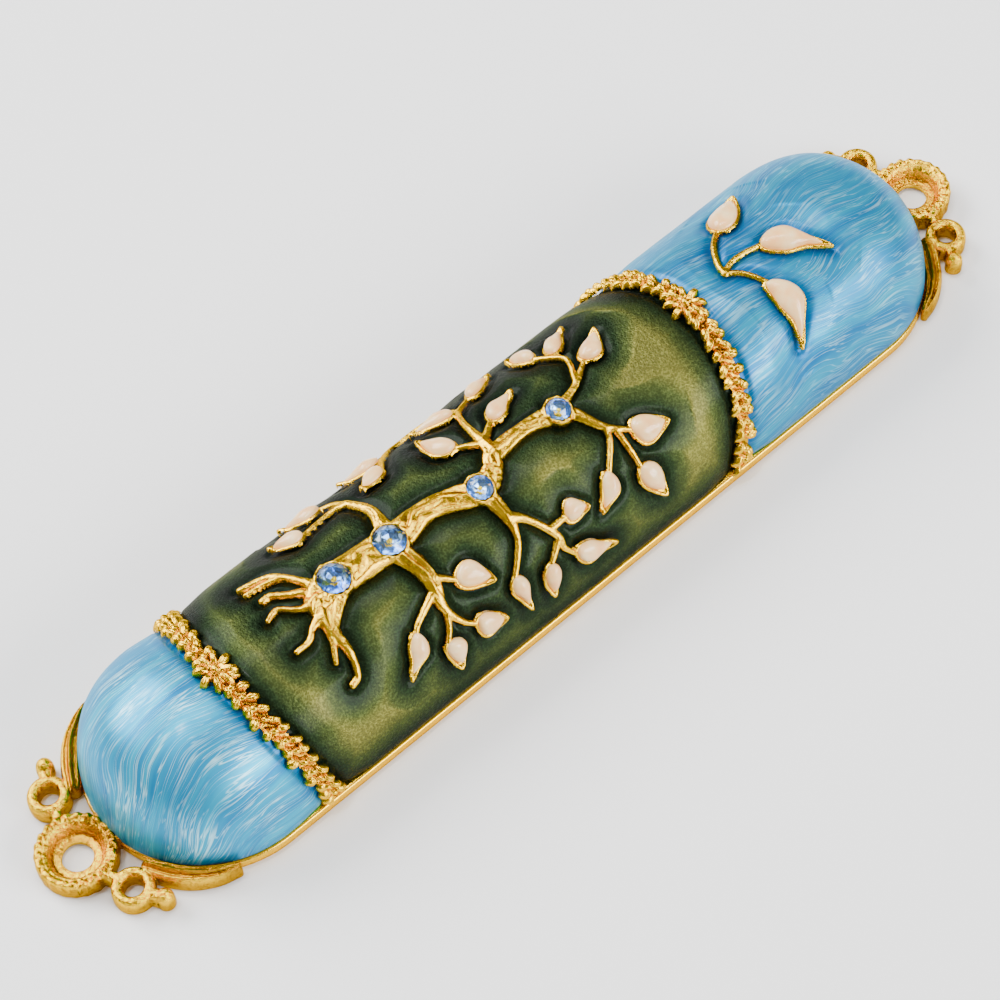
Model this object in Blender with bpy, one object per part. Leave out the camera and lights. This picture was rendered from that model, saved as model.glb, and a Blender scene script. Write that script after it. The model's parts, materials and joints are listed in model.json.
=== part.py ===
"""Mezuzah case: an enamelled cast shell with a snap-in back cover and a rolled parchment inside.

The case lies on its back: +X runs from the root end to the sprig end, +Z out of the enamelled front,
and Z = 0 is the flat back. The front is a half cylinder with rounded ends. Everything on it is laid
out on its unrolled surface: x along the case, s along the arc from the ridge, both in millimetres.
"""
import math

import bmesh
import bpy
import numpy as np
from mathutils import Matrix, Vector
from mathutils.geometry import delaunay_2d_cdt

MM = 0.001

# Shell
DOME_RADIUS = 12.0
DOME_AXIS_Z = 1.25
DOME_STRAIGHT_HALF = 42.3
END_CAP_ANGLE = math.radians(78)
WALL = 1.6
FLANGE_HALF_WIDTH = 13.1
FLANGE_STRAIGHT_HALF = 42.3
FLANGE_THICKNESS = 1.3
HALF_ARC = DOME_RADIUS * math.pi / 2

# Back cover and its pocket
POCKET_HALF_WIDTH = 11.4
POCKET_DEPTH = 1.0
COVER_THICKNESS = 0.7
FIT_GAP = 0.3
NAIL_NOTCH_RADIUS = 1.5

# Relief on the front
RELIEF_EDGE = 0.9
RELIEF_SLOPE = 0.65
RELIEF_RISE_MAX = 1.0
ENAMEL_BOTTOM = 0.3
ENAMEL_TOP = 0.65
CUP_WALL = 0.45
LEAF_CORNERS = 5
LEAF_CROWN = 0.45

# Borders: centre line x = ridge + bow * (1 - cos(angle)), angle measured from the ridge
BORDERS = ((-39.4, 3.3), (23.8, -4.2))
BORDER_HALF_WIDTH = 1.15
SCALLOP_DEPTH = 0.25
SCALLOP_PITCH = 2.1
FLOWER_RADIUS = 2.1

# Ears
EAR_X = 59.1
EAR_RING_RADIUS = 4.2
EAR_RING_HEIGHT = 2.3
SCREW_HOLE_RADIUS = 1.7
DISH_RADIUS = 3.2
DISH_FLOOR_Z = 0.8
SIDE_RING = (57.4, 6.8)
SIDE_RING_RADIUS = 2.0
SIDE_HOLE_RADIUS = 0.8
BEAD = (55.4, 9.9)
BEAD_RADIUS = 1.1

# Parchment scroll
SCROLL_LENGTH = 66.0
SCROLL_RADIUS = 4.0
SCROLL_CORE_RADIUS = 1.7
SCROLL_SHEET = 0.45
SCROLL_TURNS = 2.6
BAND_WIDTH = 5.0
BAND_THICKNESS = 0.4
SCROLL_AXIS_Z = COVER_THICKNESS + 2 * FIT_GAP + BAND_THICKNESS + SCROLL_RADIUS

# Crystals: x, s, radius
CRYSTALS = ((-24.4, -0.2, 1.65), (-17.5, -0.6, 1.65), (-6.8, -2.0, 1.3), (5.2, -0.7, 1.25))
SEAT_WALL = 0.5
CRYSTAL_GIRDLE = 1.35
CRYSTAL_TABLE = 2.0

# Branches: points (x, s, radius) from the thick end to the thin end
BRANCHES = (
    # trunk, from the roots up to the fork and the last crystal
    ((-27.3, -0.8, 1.3), (-24.4, -0.2, 1.9), (-17.5, -0.6, 1.8), (-12.1, -0.3, 1.25), (-6.8, -2.0, 1.5),
     (-4.1, -1.1, 1.1), (-2.9, 0.0, 1.1), (1.5, 0.2, 0.85), (5.2, -0.7, 1.3)),
    # roots
    ((-22.7, -0.9, 0.9), (-24.9, -1.6, 0.9), (-26.6, -2.7, 0.8), (-27.9, -4.0, 0.6)),
    ((-26.2, 0.6, 0.9), (-26.6, 1.8, 0.5), (-28.5, 5.0, 0.4), (-31.5, 6.2, 0.35)),
    ((-27.5, 1.0, 0.5), (-31.0, 3.0, 0.4)),
    ((-28.1, -0.7, 0.5), (-30.5, 1.1, 0.38), (-32.1, 0.8, 0.35)),
    ((-28.3, -2.2, 0.6), (-30.4, -3.3, 0.4), (-32.1, -3.4, 0.35)),
    ((-27.9, -2.9, 0.7), (-28.6, -4.6, 0.42), (-29.7, -6.4, 0.35)),
    ((-27.3, -0.8, 1.2), (-27.9, -3.7, 0.8), (-27.9, -6.3, 0.5), (-28.6, -8.6, 0.42), (-29.6, -9.1, 0.4)),
    # right side, low branch
    ((-17.6, -1.8, 1.3), (-16.9, -3.9, 1.15), (-16.9, -6.2, 0.95), (-17.4, -8.1, 0.65),
     (-17.2, -9.6, 0.5), (-16.4, -11.1, 0.4), (-15.3, -12.1, 0.35)),
    ((-17.4, -6.9, 0.5), (-20.4, -8.3, 0.36), (-21.3, -9.0, 0.35)),
    ((-17.4, -9.1, 0.45), (-18.0, -10.6, 0.36), (-18.9, -11.8, 0.35)),
    ((-16.3, -5.9, 0.5), (-14.7, -7.3, 0.35)),
    # right side, middle branch
    ((-6.6, -2.8, 1.1), (-6.4, -5.7, 0.75), (-6.7, -7.4, 0.45), (-7.4, -8.7, 0.4), (-9.3, -10.8, 0.35)),
    ((-6.4, -5.7, 0.75), (-4.8, -7.1, 0.5), (-3.1, -10.2, 0.48), (-3.1, -11.6, 0.4), (-2.2, -13.0, 0.35)),
    ((-3.4, -9.2, 0.5), (-1.3, -9.2, 0.35)),
    ((-3.2, -10.6, 0.42), (-5.3, -12.3, 0.35)),
    # right side, high branch
    ((5.3, -0.7, 1.2), (6.4, -1.9, 0.8), (7.8, -4.6, 0.5), (9.9, -6.4, 0.35)),
    ((7.8, -4.5, 0.45), (7.4, -6.0, 0.38), (5.4, -8.3, 0.35)),
    ((8.6, -5.6, 0.42), (8.6, -10.0, 0.35)),
    # left side, high branch
    ((6.0, -0.3, 0.8), (7.5, 0.1, 0.5), (9.2, 0.7, 0.45), (11.5, 2.1, 0.35)),
    ((9.0, 0.7, 0.4), (10.3, 3.0, 0.36), (10.3, 4.3, 0.35), (8.6, 6.7, 0.35)),
    # left limb of the fork
    ((-2.9, 0.1, 1.1), (-2.7, 1.6, 0.75), (-2.5, 3.7, 0.5), (-2.1, 5.8, 0.42), (-1.2, 7.7, 0.38),
     (1.0, 8.8, 0.35)),
    ((-2.7, 1.7, 0.6), (-0.3, 3.3, 0.4)),
    ((-2.9, 1.7, 0.5), (-5.1, 3.3, 0.35)),
    ((-1.3, 8.1, 0.38), (-2.6, 11.4, 0.36), (-7.6, 12.2, 0.35), (-10.2, 10.2, 0.35), (-11.6, 7.9, 0.35)),
    # left side, low branch
    ((-16.9, 0.6, 1.2), (-16.5, 2.1, 0.85), (-16.2, 3.9, 0.65), (-17.0, 6.8, 0.5)),
    ((-17.0, 6.6, 0.45), (-18.6, 7.4, 0.36), (-22.6, 7.0, 0.35)),
    ((-17.0, 6.8, 0.45), (-17.8, 8.6, 0.36), (-19.0, 9.8, 0.35)),
    # sprig
    ((29.6, 0.0, 0.45), (30.0, 1.4, 0.42), (31.4, 3.4, 0.4), (33.4, 5.0, 0.36)),
    ((29.9, 0.2, 0.4), (31.2, 0.6, 0.36), (32.7, 0.6, 0.35), (35.0, 0.1, 0.35)),
    ((29.6, 0.1, 0.42), (31.2, -1.3, 0.38), (32.4, -3.5, 0.36)),
)

# Leaves: base (x, s), tip (x, s), width, bend to the left
TREE_LEAVES = (
    ((-21.3, -9.0), (-24.3, -12.3), 1.8, 0.8), ((-18.8, -11.8), (-18.9, -14.9), 2.2, 0.4),
    ((-15.3, -12.1), (-12.2, -13.5), 2.4, -0.4), ((-14.7, -7.2), (-11.4, -9.5), 2.6, 0.4),
    ((-9.4, -10.8), (-9.3, -14.6), 1.8, 0.0), ((-5.2, -12.2), (-6.4, -15.2), 1.8, 0.0),
    ((-2.2, -12.9), (2.4, -14.7), 2.3, -0.7), ((-1.4, -9.2), (1.3, -9.6), 2.2, 0.3),
    ((5.1, -8.3), (2.5, -11.1), 1.9, 1.0), ((9.9, -6.4), (13.8, -7.9), 2.8, -0.4),
    ((8.6, -10.0), (9.7, -14.0), 2.5, 0.1), ((11.4, 2.1), (15.1, 4.2), 2.2, -0.6),
    ((9.9, 5.4), (13.5, 7.7), 1.9, 0.2), ((8.6, 6.7), (7.0, 9.6), 1.9, -0.3),
    ((0.9, 8.5), (4.6, 9.8), 1.9, 0.3), ((-0.4, 3.2), (3.7, 4.5), 2.0, 0.2),
    ((-1.7, 7.9), (-6.3, 9.8), 2.0, -0.4), ((-5.2, 3.2), (-7.1, 7.2), 2.3, 0.3),
    ((-11.6, 7.8), (-14.9, 6.7), 1.9, -0.2), ((-10.3, 10.4), (-15.0, 12.0), 2.0, 0.2),
    ((-22.6, 6.9), (-26.0, 8.4), 1.9, 0.0), ((-18.8, 9.6), (-23.2, 11.4), 2.0, 0.2),
)
SPRIG_LEAVES = (
    ((33.3, 4.7), (38.3, 7.4), 3.2, 0.1), ((34.8, 0.1), (40.4, -4.3), 2.8, 0.5),
    ((32.2, -3.4), (31.1, -10.5), 2.9, 1.3),
)

# Working grid on the unrolled front
GRID_STEP = 0.3
CONTOUR_TOLERANCE = 0.11
SURFACE_STEP_X = 7.0
SURFACE_STEP_S = 2.7
MAP_MARGIN = 1.5
MAP_SQUEEZE = 0.45


def clear_scene():
    for obj in list(bpy.data.objects):
        bpy.data.objects.remove(obj, do_unlink=True)


def material(name, colour, roughness, metallic=0.0):
    """A plain Principled material."""
    mat = bpy.data.materials.new(name)
    mat.use_nodes = True
    shader = mat.node_tree.nodes["Principled BSDF"]
    shader.inputs["Base Color"].default_value = (*colour, 1.0)
    shader.inputs["Roughness"].default_value = roughness
    shader.inputs["Metallic"].default_value = metallic
    mat.diffuse_color = (*colour, 1.0)
    return mat


# ---------------------------------------------------------------- surface of the dome

def dome_point(x, s, height):
    """The point at (x, s) of the unrolled dome, raised above it by height; past the straight part
    x measures the arc over the rounded end."""
    radius = DOME_RADIUS + height
    angle = s / DOME_RADIUS
    over = abs(x) - DOME_STRAIGHT_HALF
    if over > 0:
        dip = over / DOME_RADIUS
        px = math.copysign(DOME_STRAIGHT_HALF + radius * math.sin(dip), x)
        radius *= math.cos(dip)
    else:
        px = x
    return Vector((px, radius * math.sin(angle), DOME_AXIS_Z + radius * math.cos(angle)))


MAP_HALF_X = DOME_STRAIGHT_HALF + DOME_RADIUS * END_CAP_ANGLE


# ---------------------------------------------------------------- flat shapes on the map

def branch_distance(px, ps, points):
    """Signed distance to a chain of tapered rods."""
    best = np.full(px.shape, 1e3)
    for (ax, a_s, ar), (bx, b_s, br) in zip(points, points[1:]):
        dx, ds = bx - ax, b_s - a_s
        t = np.clip(((px - ax) * dx + (ps - a_s) * ds) / (dx * dx + ds * ds), 0, 1)
        gap = np.hypot(px - ax - t * dx, ps - a_s - t * ds) - (ar + t * (br - ar))
        best = np.minimum(best, gap)
    return best


def polygon_distance(px, ps, corners):
    """Signed distance to a closed polygon, negative inside."""
    best = np.full(px.shape, 1e3)
    inside = np.zeros(px.shape, bool)
    for (ax, a_s), (bx, b_s) in zip(corners, corners[1:] + corners[:1]):
        dx, ds = bx - ax, b_s - a_s
        t = np.clip(((px - ax) * dx + (ps - a_s) * ds) / (dx * dx + ds * ds), 0, 1)
        best = np.minimum(best, np.hypot(px - ax - t * dx, ps - a_s - t * ds))
        crosses = (a_s > ps) != (b_s > ps)
        at = ax + (ps - a_s) * dx / np.where(ds == 0, 1e-9, ds)
        inside ^= crosses & (px < at)
    return np.where(inside, -best, best)


def leaf_outline(base, tip, width, bend, inset=0.0, corners=6):
    """A pointed leaf curving from base to tip, widest a little before the middle."""
    bx, bs = base
    dx, ds = tip[0] - bx, tip[1] - bs
    length = math.hypot(dx, ds)
    ux, us = dx / length, ds / length
    start, end = inset, length - 1.6 * inset
    half = width / 2 - inset
    left, right = [], []
    for k in range(1, corners):
        t = k / corners
        along = start + (end - start) * t
        reach = half * math.sin(math.pi * t ** 0.85) ** 0.75
        middle = bend * math.sin(math.pi * t)
        left.append((along, middle + reach))
        right.append((along, middle - reach))
    ring = [(start, 0.0)] + left + [(end, 0.0)] + right[::-1]
    return [(bx + a * ux - h * us, bs + a * us + h * ux) for a, h in ring]


def circle(cx, cs, radius, corners):
    return [(cx + radius * math.cos(2 * math.pi * k / corners),
             cs + radius * math.sin(2 * math.pi * k / corners)) for k in range(corners)]


def border_centre(border, ps):
    ridge, bow = border
    return ridge + bow * (1 - np.cos(ps / DOME_RADIUS))


def border_distance(px, ps, border):
    """Signed distance to one laurel border with scalloped edges and a flower on the ridge."""
    off = px - border_centre(border, ps)
    scallop = SCALLOP_DEPTH * np.cos(2 * math.pi * ps / SCALLOP_PITCH)
    band = np.abs(off) - BORDER_HALF_WIDTH - scallop
    flower = np.hypot(off, ps) - FLOWER_RADIUS
    return np.minimum(band, flower)


def gold_distance(px, ps):
    """Signed distance to everything that stands up in gold."""
    best = np.full(px.shape, 1e3)
    for points in BRANCHES:
        best = np.minimum(best, branch_distance(px, ps, points))
    for leaf in TREE_LEAVES + SPRIG_LEAVES:
        best = np.minimum(best, polygon_distance(px, ps, leaf_outline(*leaf)) - CUP_WALL)
    for x, s, radius in CRYSTALS:
        best = np.minimum(best, np.hypot(px - x, ps - s) - radius - FIT_GAP - SEAT_WALL)
    for border in BORDERS:
        best = np.minimum(best, border_distance(px, ps, border))
    return best


# ---------------------------------------------------------------- contours

def contours(field, xs, ys):
    """Closed outlines of the area where field is negative, by marching squares."""
    field = np.where(field == 0, 1e-9, field)
    links = {}

    def join(a, b):
        links.setdefault(a, []).append(b)
        links.setdefault(b, []).append(a)

    inside = field < 0
    count = (inside[:-1, :-1].astype(int) + inside[1:, :-1] + inside[1:, 1:] + inside[:-1, 1:])
    for i, j in np.argwhere((count > 0) & (count < 4)):
        corners = (inside[i, j], inside[i + 1, j], inside[i + 1, j + 1], inside[i, j + 1])
        sides = ((i, j, 0), (i + 1, j, 1), (i, j + 1, 0), (i, j, 1))
        cut = [side for k, side in enumerate(sides) if corners[k] != corners[(k + 1) % 4]]
        if len(cut) == 2:
            join(cut[0], cut[1])
        elif corners[0] == (field[i:i + 2, j:j + 2].mean() < 0):
            join(sides[0], sides[1])
            join(sides[2], sides[3])
        else:
            join(sides[3], sides[0])
            join(sides[1], sides[2])

    def crossing(side):
        i, j, kind = side
        i2, j2 = (i + 1, j) if kind == 0 else (i, j + 1)
        t = field[i, j] / (field[i, j] - field[i2, j2])
        return (xs[i] + t * (xs[i2] - xs[i]), ys[j] + t * (ys[j2] - ys[j]))

    loops = []
    seen = set()
    for start in sorted(links):
        if start in seen:
            continue
        loop, here, before = [], start, None
        while here not in seen:
            seen.add(here)
            loop.append(crossing(here))
            onward = [n for n in links[here] if n != before and n not in seen]
            before = here
            if not onward:
                break
            here = onward[0]
        loops.append(loop)
    return loops


def simplify(points, tolerance):
    """Fewest of the points that keep an open line within tolerance."""
    if len(points) < 3:
        return list(points)
    (ax, ay), (bx, by) = points[0], points[-1]
    length = math.hypot(bx - ax, by - ay)
    worst, at = 0.0, 0
    for k in range(1, len(points) - 1):
        x, y = points[k]
        if length > 1e-9:
            off = abs((bx - ax) * (ay - y) - (ax - x) * (by - ay)) / length
        else:
            off = math.hypot(x - ax, y - ay)
        if off > worst:
            worst, at = off, k
    if worst <= tolerance:
        return [points[0], points[-1]]
    return simplify(points[:at + 1], tolerance)[:-1] + simplify(points[at:], tolerance)


def simplify_loop(loop, tolerance=CONTOUR_TOLERANCE):
    half = len(loop) // 2
    line = simplify(loop[:half + 1], tolerance)[:-1] + simplify(loop[half:] + loop[:1], tolerance)[:-1]
    return line


def follow_dome(loop):
    """Split the sides of a loop that would cut too deep a chord through the dome."""
    result = []
    for (ax, a_s), (bx, b_s) in zip(loop, loop[1:] + loop[:1]):
        parts = math.ceil(abs(b_s - a_s) / SURFACE_STEP_S)
        if max(abs(ax), abs(bx)) > DOME_STRAIGHT_HALF:
            parts = max(parts, math.ceil(abs(bx - ax) / SURFACE_STEP_S))
        parts = max(parts, 1)
        result += [(ax + (bx - ax) * k / parts, a_s + (b_s - a_s) * k / parts) for k in range(parts)]
    return result


def loop_area(loop):
    return 0.5 * sum(ax * by - bx * ay for (ax, ay), (bx, by) in zip(loop, loop[1:] + loop[:1]))


# ---------------------------------------------------------------- triangulated map

def triangulate(loops, extra):
    """Triangles over the loops and the extra points: points, triangles with the area index of each.
    An area is a set of triangles with no loop edge between them. The map is squeezed along x
    meanwhile, so that triangles run along the dome rather than across its curve."""
    verts = []
    edges = []
    for loop in loops:
        first = len(verts)
        verts += [Vector((x * MAP_SQUEEZE, s)) for x, s in loop]
        edges += [(first + k, first + (k + 1) % len(loop)) for k in range(len(loop))]
    verts += [Vector((x * MAP_SQUEEZE, s)) for x, s in extra]
    points, all_edges, faces, _, origin, _ = delaunay_2d_cdt(verts, edges, [], 0, 1e-5)
    points = [Vector((p.x / MAP_SQUEEZE, p.y)) for p in points]
    walls = {tuple(sorted(e)) for e, source in zip(all_edges, origin) if source}
    owner = {}
    for index, face in enumerate(faces):
        for a, b in zip(face, face[1:] + face[:1]):
            owner.setdefault(tuple(sorted((a, b))), []).append(index)
    area = [-1] * len(faces)
    areas = 0
    for start in range(len(faces)):
        if area[start] >= 0:
            continue
        stack = [start]
        area[start] = areas
        while stack:
            face = faces[stack.pop()]
            for a, b in zip(face, face[1:] + face[:1]):
                key = tuple(sorted((a, b)))
                if key in walls:
                    continue
                for other in owner[key]:
                    if area[other] < 0:
                        area[other] = areas
                        stack.append(other)
        areas += 1
    return points, faces, area, areas


def triangle_size(points, face):
    a, b, c = (points[k] for k in face)
    return 0.5 * abs((b.x - a.x) * (c.y - a.y) - (c.x - a.x) * (b.y - a.y))


def area_votes(points, faces, area, areas, measure):
    """For each area, the size-weighted mean of the sign of measure at its triangles' centres."""
    cx = np.array([sum(points[k].x for k in face) / 3 for face in faces])
    cs = np.array([sum(points[k].y for k in face) / 3 for face in faces])
    sign = np.sign(measure(cx, cs))
    votes = np.zeros(areas)
    sizes = np.zeros(areas)
    for index, face in enumerate(faces):
        size = triangle_size(points, face)
        votes[area[index]] += sign[index] * size
        sizes[area[index]] += size
    return votes / np.maximum(sizes, 1e-12), sizes


def surface_points(keep_clear, low_x, high_x, half_s):
    """Grid points that let flat triangles follow the dome, away from the outlines."""
    xs = list(np.arange(-DOME_STRAIGHT_HALF, DOME_STRAIGHT_HALF + 0.1, SURFACE_STEP_X * 0.9999))
    over = DOME_RADIUS * END_CAP_ANGLE
    for k in range(1, 6):
        xs += [DOME_STRAIGHT_HALF + over * k / 6, -DOME_STRAIGHT_HALF - over * k / 6]
    xs = [x for x in xs if low_x < x < high_x]
    rows = int(half_s / SURFACE_STEP_S)
    points = [(x, SURFACE_STEP_S * k) for x in sorted(xs) for k in range(-rows, rows + 1)]
    px = np.array([p[0] for p in points])
    ps = np.array([p[1] for p in points])
    return [p for p, gap in zip(points, keep_clear(px, ps)) if gap > 0.45]


def mesh_object(name, bm, mat, smooth_angle=None):
    """Finish a bmesh as an object; everything is drawn in millimetres until to_metres."""
    bmesh.ops.recalc_face_normals(bm, faces=bm.faces)
    mesh = bpy.data.meshes.new(name)
    bm.to_mesh(mesh)
    bm.free()
    mesh.materials.append(mat)
    if smooth_angle is not None:
        mesh.shade_smooth()
        mesh.set_sharp_from_angle(angle=smooth_angle)
    obj = bpy.data.objects.new(name, mesh)
    bpy.context.scene.collection.objects.link(obj)
    return obj


def enamel_sheet(name, loops, extra, measure, bottom, top, mat):
    """A closed sheet over the largest area where measure is negative, between two heights."""
    points, faces, area, areas = triangulate([follow_dome(loop) for loop in loops], extra)
    votes, sizes = area_votes(points, faces, area, areas, measure)
    chosen = max((k for k in range(areas) if votes[k] < 0), key=lambda k: sizes[k])
    faces = [face for index, face in enumerate(faces) if area[index] == chosen]
    used = sorted({k for face in faces for k in face})
    on_edge = {}
    for face in faces:
        for a, b in zip(face, face[1:] + face[:1]):
            on_edge[tuple(sorted((a, b)))] = on_edge.get(tuple(sorted((a, b))), 0) + 1
    rim = [key for key, count in on_edge.items() if count == 1]
    rim_points = {k for key in rim for k in key}
    bm = bmesh.new()
    low = {k: bm.verts.new(dome_point(points[k].x, points[k].y, bottom)) for k in used}
    high = {k: bm.verts.new(dome_point(points[k].x, points[k].y, top(k in rim_points))) for k in used}
    for face in faces:
        bm.faces.new([high[k] for k in face])
        bm.faces.new([low[k] for k in reversed(face)])
    for a, b in rim:
        bm.faces.new([low[a], low[b], high[b], high[a]])
    return mesh_object(name, bm, mat)


# ---------------------------------------------------------------- the cast front

def working_grid(half_x, half_s):
    xs = np.arange(-half_x, half_x + GRID_STEP, GRID_STEP)
    ys = np.arange(-half_s, half_s + GRID_STEP, GRID_STEP)
    px, ps = np.meshgrid(xs, ys, indexing="ij")
    return xs, ys, px, ps


def dome_block(mat):
    """Solid dome with all the gold relief standing on it and pockets for leaves and crystals."""
    xs, ys, px, ps = working_grid(DOME_STRAIGHT_HALF + 2, HALF_ARC + MAP_MARGIN)
    field = gold_distance(px, ps)
    field[[0, -1], :] = 1.0
    field[:, [0, -1]] = 1.0
    loops = [simplify_loop(loop) for loop in contours(field, xs, ys) if abs(loop_area(loop)) > 0.3]
    pockets = [leaf_outline(*leaf) for leaf in TREE_LEAVES + SPRIG_LEAVES]
    pockets += [circle(x, s, radius + FIT_GAP, 10) for x, s, radius in CRYSTALS]
    rows = np.linspace(-HALF_ARC, HALF_ARC, 15)
    frame = [(-MAP_HALF_X, s) for s in rows] + [(MAP_HALF_X, s) for s in reversed(rows)]

    def level(cx, cs):
        """Negative where the relief stands."""
        value = gold_distance(cx, cs)
        for pocket in pockets:
            value = np.maximum(value, -polygon_distance(cx, cs, pocket))
        return value

    def clear(cx, cs):
        return np.abs(level(cx, cs))

    stations = surface_points(clear, -MAP_HALF_X + 0.5, MAP_HALF_X - 0.5, HALF_ARC)
    edge_x = [x for x in sorted({p[0] for p in stations})]
    along_edges = [(x, side * HALF_ARC) for x in edge_x for side in (-1, 1)]
    spine = []
    for branch in BRANCHES:
        for x, s, radius in branch:
            if radius >= 0.5:
                spine.append((x, s))
    for border in BORDERS:
        for k in range(-6, 7):
            s = k * SCALLOP_PITCH * 1.3
            spine.append((float(border_centre(border, s)), s))
    spine_gap = level(np.array([p[0] for p in spine]), np.array([p[1] for p in spine]))
    spine = [p for p, gap in zip(spine, spine_gap) if gap < -0.35]
    points, faces, area, areas = triangulate(loops + pockets + [frame], stations + along_edges + spine)

    votes, _ = area_votes(points, faces, area, areas, level)
    depth = level(np.array([p.x for p in points]), np.array([p.y for p in points]))
    keep = []
    for index, face in enumerate(faces):
        cx = sum(points[k].x for k in face) / 3
        cs = sum(points[k].y for k in face) / 3
        if abs(cx) < MAP_HALF_X and abs(cs) < HALF_ARC and triangle_size(points, face) > 1e-7:
            keep.append((face, votes[area[index]] < 0))

    bm = bmesh.new()
    made = {}

    def vertex(k, raised):
        key = (k, raised)
        if key not in made:
            height = 0.0
            if raised:
                height = RELIEF_EDGE + min(RELIEF_RISE_MAX, RELIEF_SLOPE * max(0.0, -depth[k] - 0.1))
            made[key] = bm.verts.new(dome_point(points[k].x, points[k].y, height))
        return made[key]

    sides = {}
    for face, raised in keep:
        bm.faces.new([vertex(k, raised) for k in face])
        for a, b in zip(face, face[1:] + face[:1]):
            sides.setdefault(tuple(sorted((a, b))), []).append(raised)
    for (a, b), levels in sides.items():
        if len(levels) == 2 and levels[0] != levels[1]:
            bm.faces.new([vertex(a, False), vertex(b, False), vertex(b, True), vertex(a, True)])
    open_edges = [edge for edge in bm.edges if len(edge.link_faces) == 1]
    skirt = bmesh.ops.extrude_edge_only(bm, edges=open_edges)
    lowered = [item for item in skirt["geom"] if isinstance(item, bmesh.types.BMVert)]
    for vert in lowered:
        vert.co.z = FLANGE_THICKNESS / 2
    bottom = [edge for edge in bm.edges if len(edge.link_faces) == 1]
    bmesh.ops.holes_fill(bm, edges=bottom, sides=0)
    bmesh.ops.remove_doubles(bm, verts=bm.verts, dist=1e-5)
    return mesh_object("case_shell", bm, mat, math.radians(35))


def half_dome(name, radius, straight_half, low_z, axis_z, mat):
    """Half cylinder with quarter-sphere ends and a straight skirt down to low_z, closed below."""
    bm = bmesh.new()
    arcs = 16
    ends = 6
    stations = [(-straight_half, -math.pi / 2 * k / ends) for k in range(ends, 0, -1)]
    stations += [(-straight_half, 0.0), (straight_half, 0.0)]
    stations += [(straight_half, math.pi / 2 * k / ends) for k in range(1, ends + 1)]
    rings = []
    for x, dip in stations:
        r = radius * math.cos(dip)
        ring = []
        for k in range(arcs + 1):
            angle = -math.pi / 2 + math.pi * k / arcs
            ring.append(bm.verts.new((x + radius * math.sin(dip), r * math.sin(angle),
                                      axis_z + r * math.cos(angle))))
        rings.append(ring)
    for left, right in zip(rings, rings[1:]):
        for k in range(arcs):
            bm.faces.new([left[k], right[k], right[k + 1], left[k + 1]])
    bmesh.ops.remove_doubles(bm, verts=bm.verts, dist=1e-4)
    open_edges = [edge for edge in bm.edges if len(edge.link_faces) == 1]
    skirt = bmesh.ops.extrude_edge_only(bm, edges=open_edges)
    for item in skirt["geom"]:
        if isinstance(item, bmesh.types.BMVert):
            item.co.z = low_z
    bottom = [edge for edge in bm.edges if len(edge.link_faces) == 1]
    bmesh.ops.holes_fill(bm, edges=bottom, sides=0)
    return mesh_object(name, bm, mat)


def stadium(half_width, straight_half, segments):
    """Outline of a strip with round ends."""
    outline = []
    for side in (1, -1):
        for k in range(segments + 1):
            angle = side * math.pi / 2 - math.pi * k / segments
            outline.append((side * straight_half + half_width * math.cos(angle) * 1.0,
                            half_width * math.sin(angle)))
    return outline


def prism(name, outline, low, high, mat):
    """An outline extruded from low to high."""
    bm = bmesh.new()
    face = bm.faces.new([bm.verts.new((x, y, low)) for x, y in outline])
    raised = bmesh.ops.extrude_face_region(bm, geom=[face])
    for item in raised["geom"]:
        if isinstance(item, bmesh.types.BMVert):
            item.co.z = high
    return mesh_object(name, bm, mat)


def ear_distance(px, py):
    """Plan of the flange and both filigree ears, negative on metal."""
    along = np.maximum(np.abs(px) - FLANGE_STRAIGHT_HALF, 0)
    best = np.hypot(along, py) - FLANGE_HALF_WIDTH
    ax, ay = np.abs(px), np.abs(py)
    best = np.minimum(best, np.hypot(ax - EAR_X, ay) - EAR_RING_RADIUS)
    best = np.minimum(best, np.hypot(ax - SIDE_RING[0], ay - SIDE_RING[1]) - SIDE_RING_RADIUS)
    best = np.minimum(best, np.hypot(ax - BEAD[0], ay - BEAD[1]) - BEAD_RADIUS * 0.8)
    scroll = ((47.5, 12.3, 0.9), (51.5, 11.2, 1.1), (54.0, 9.6, 1.0), (56.0, 8.3, 0.8))
    best = np.minimum(best, branch_distance(ax, ay, scroll))
    return np.maximum(best, SIDE_HOLE_RADIUS - np.hypot(ax - SIDE_RING[0], ay - SIDE_RING[1]))


def base_plate(mat):
    """Flange and ears as one flat plate, screw holes not yet cut."""
    half_x = EAR_X + EAR_RING_RADIUS + 1
    xs, ys, px, py = working_grid(half_x, FLANGE_HALF_WIDTH + 1)
    loops = [simplify_loop(loop, 0.08) for loop in contours(ear_distance(px, py), xs, ys)]
    loops = [loop for loop in loops if abs(loop_area(loop)) > 0.4]
    points, faces, area, areas = triangulate(loops, [])
    votes, sizes = area_votes(points, faces, area, areas, ear_distance)
    chosen = max((k for k in range(areas) if votes[k] < 0), key=lambda k: sizes[k])
    bm = bmesh.new()
    made = {}
    for index, face in enumerate(faces):
        if area[index] != chosen:
            continue
        for k in face:
            if k not in made:
                made[k] = bm.verts.new((points[k].x, points[k].y, 0.0))
        bm.faces.new([made[k] for k in face])
    raised = bmesh.ops.extrude_face_region(bm, geom=list(bm.faces))
    for item in raised["geom"]:
        if isinstance(item, bmesh.types.BMVert):
            item.co.z = FLANGE_THICKNESS
    return mesh_object("base_plate", bm, mat)


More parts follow.
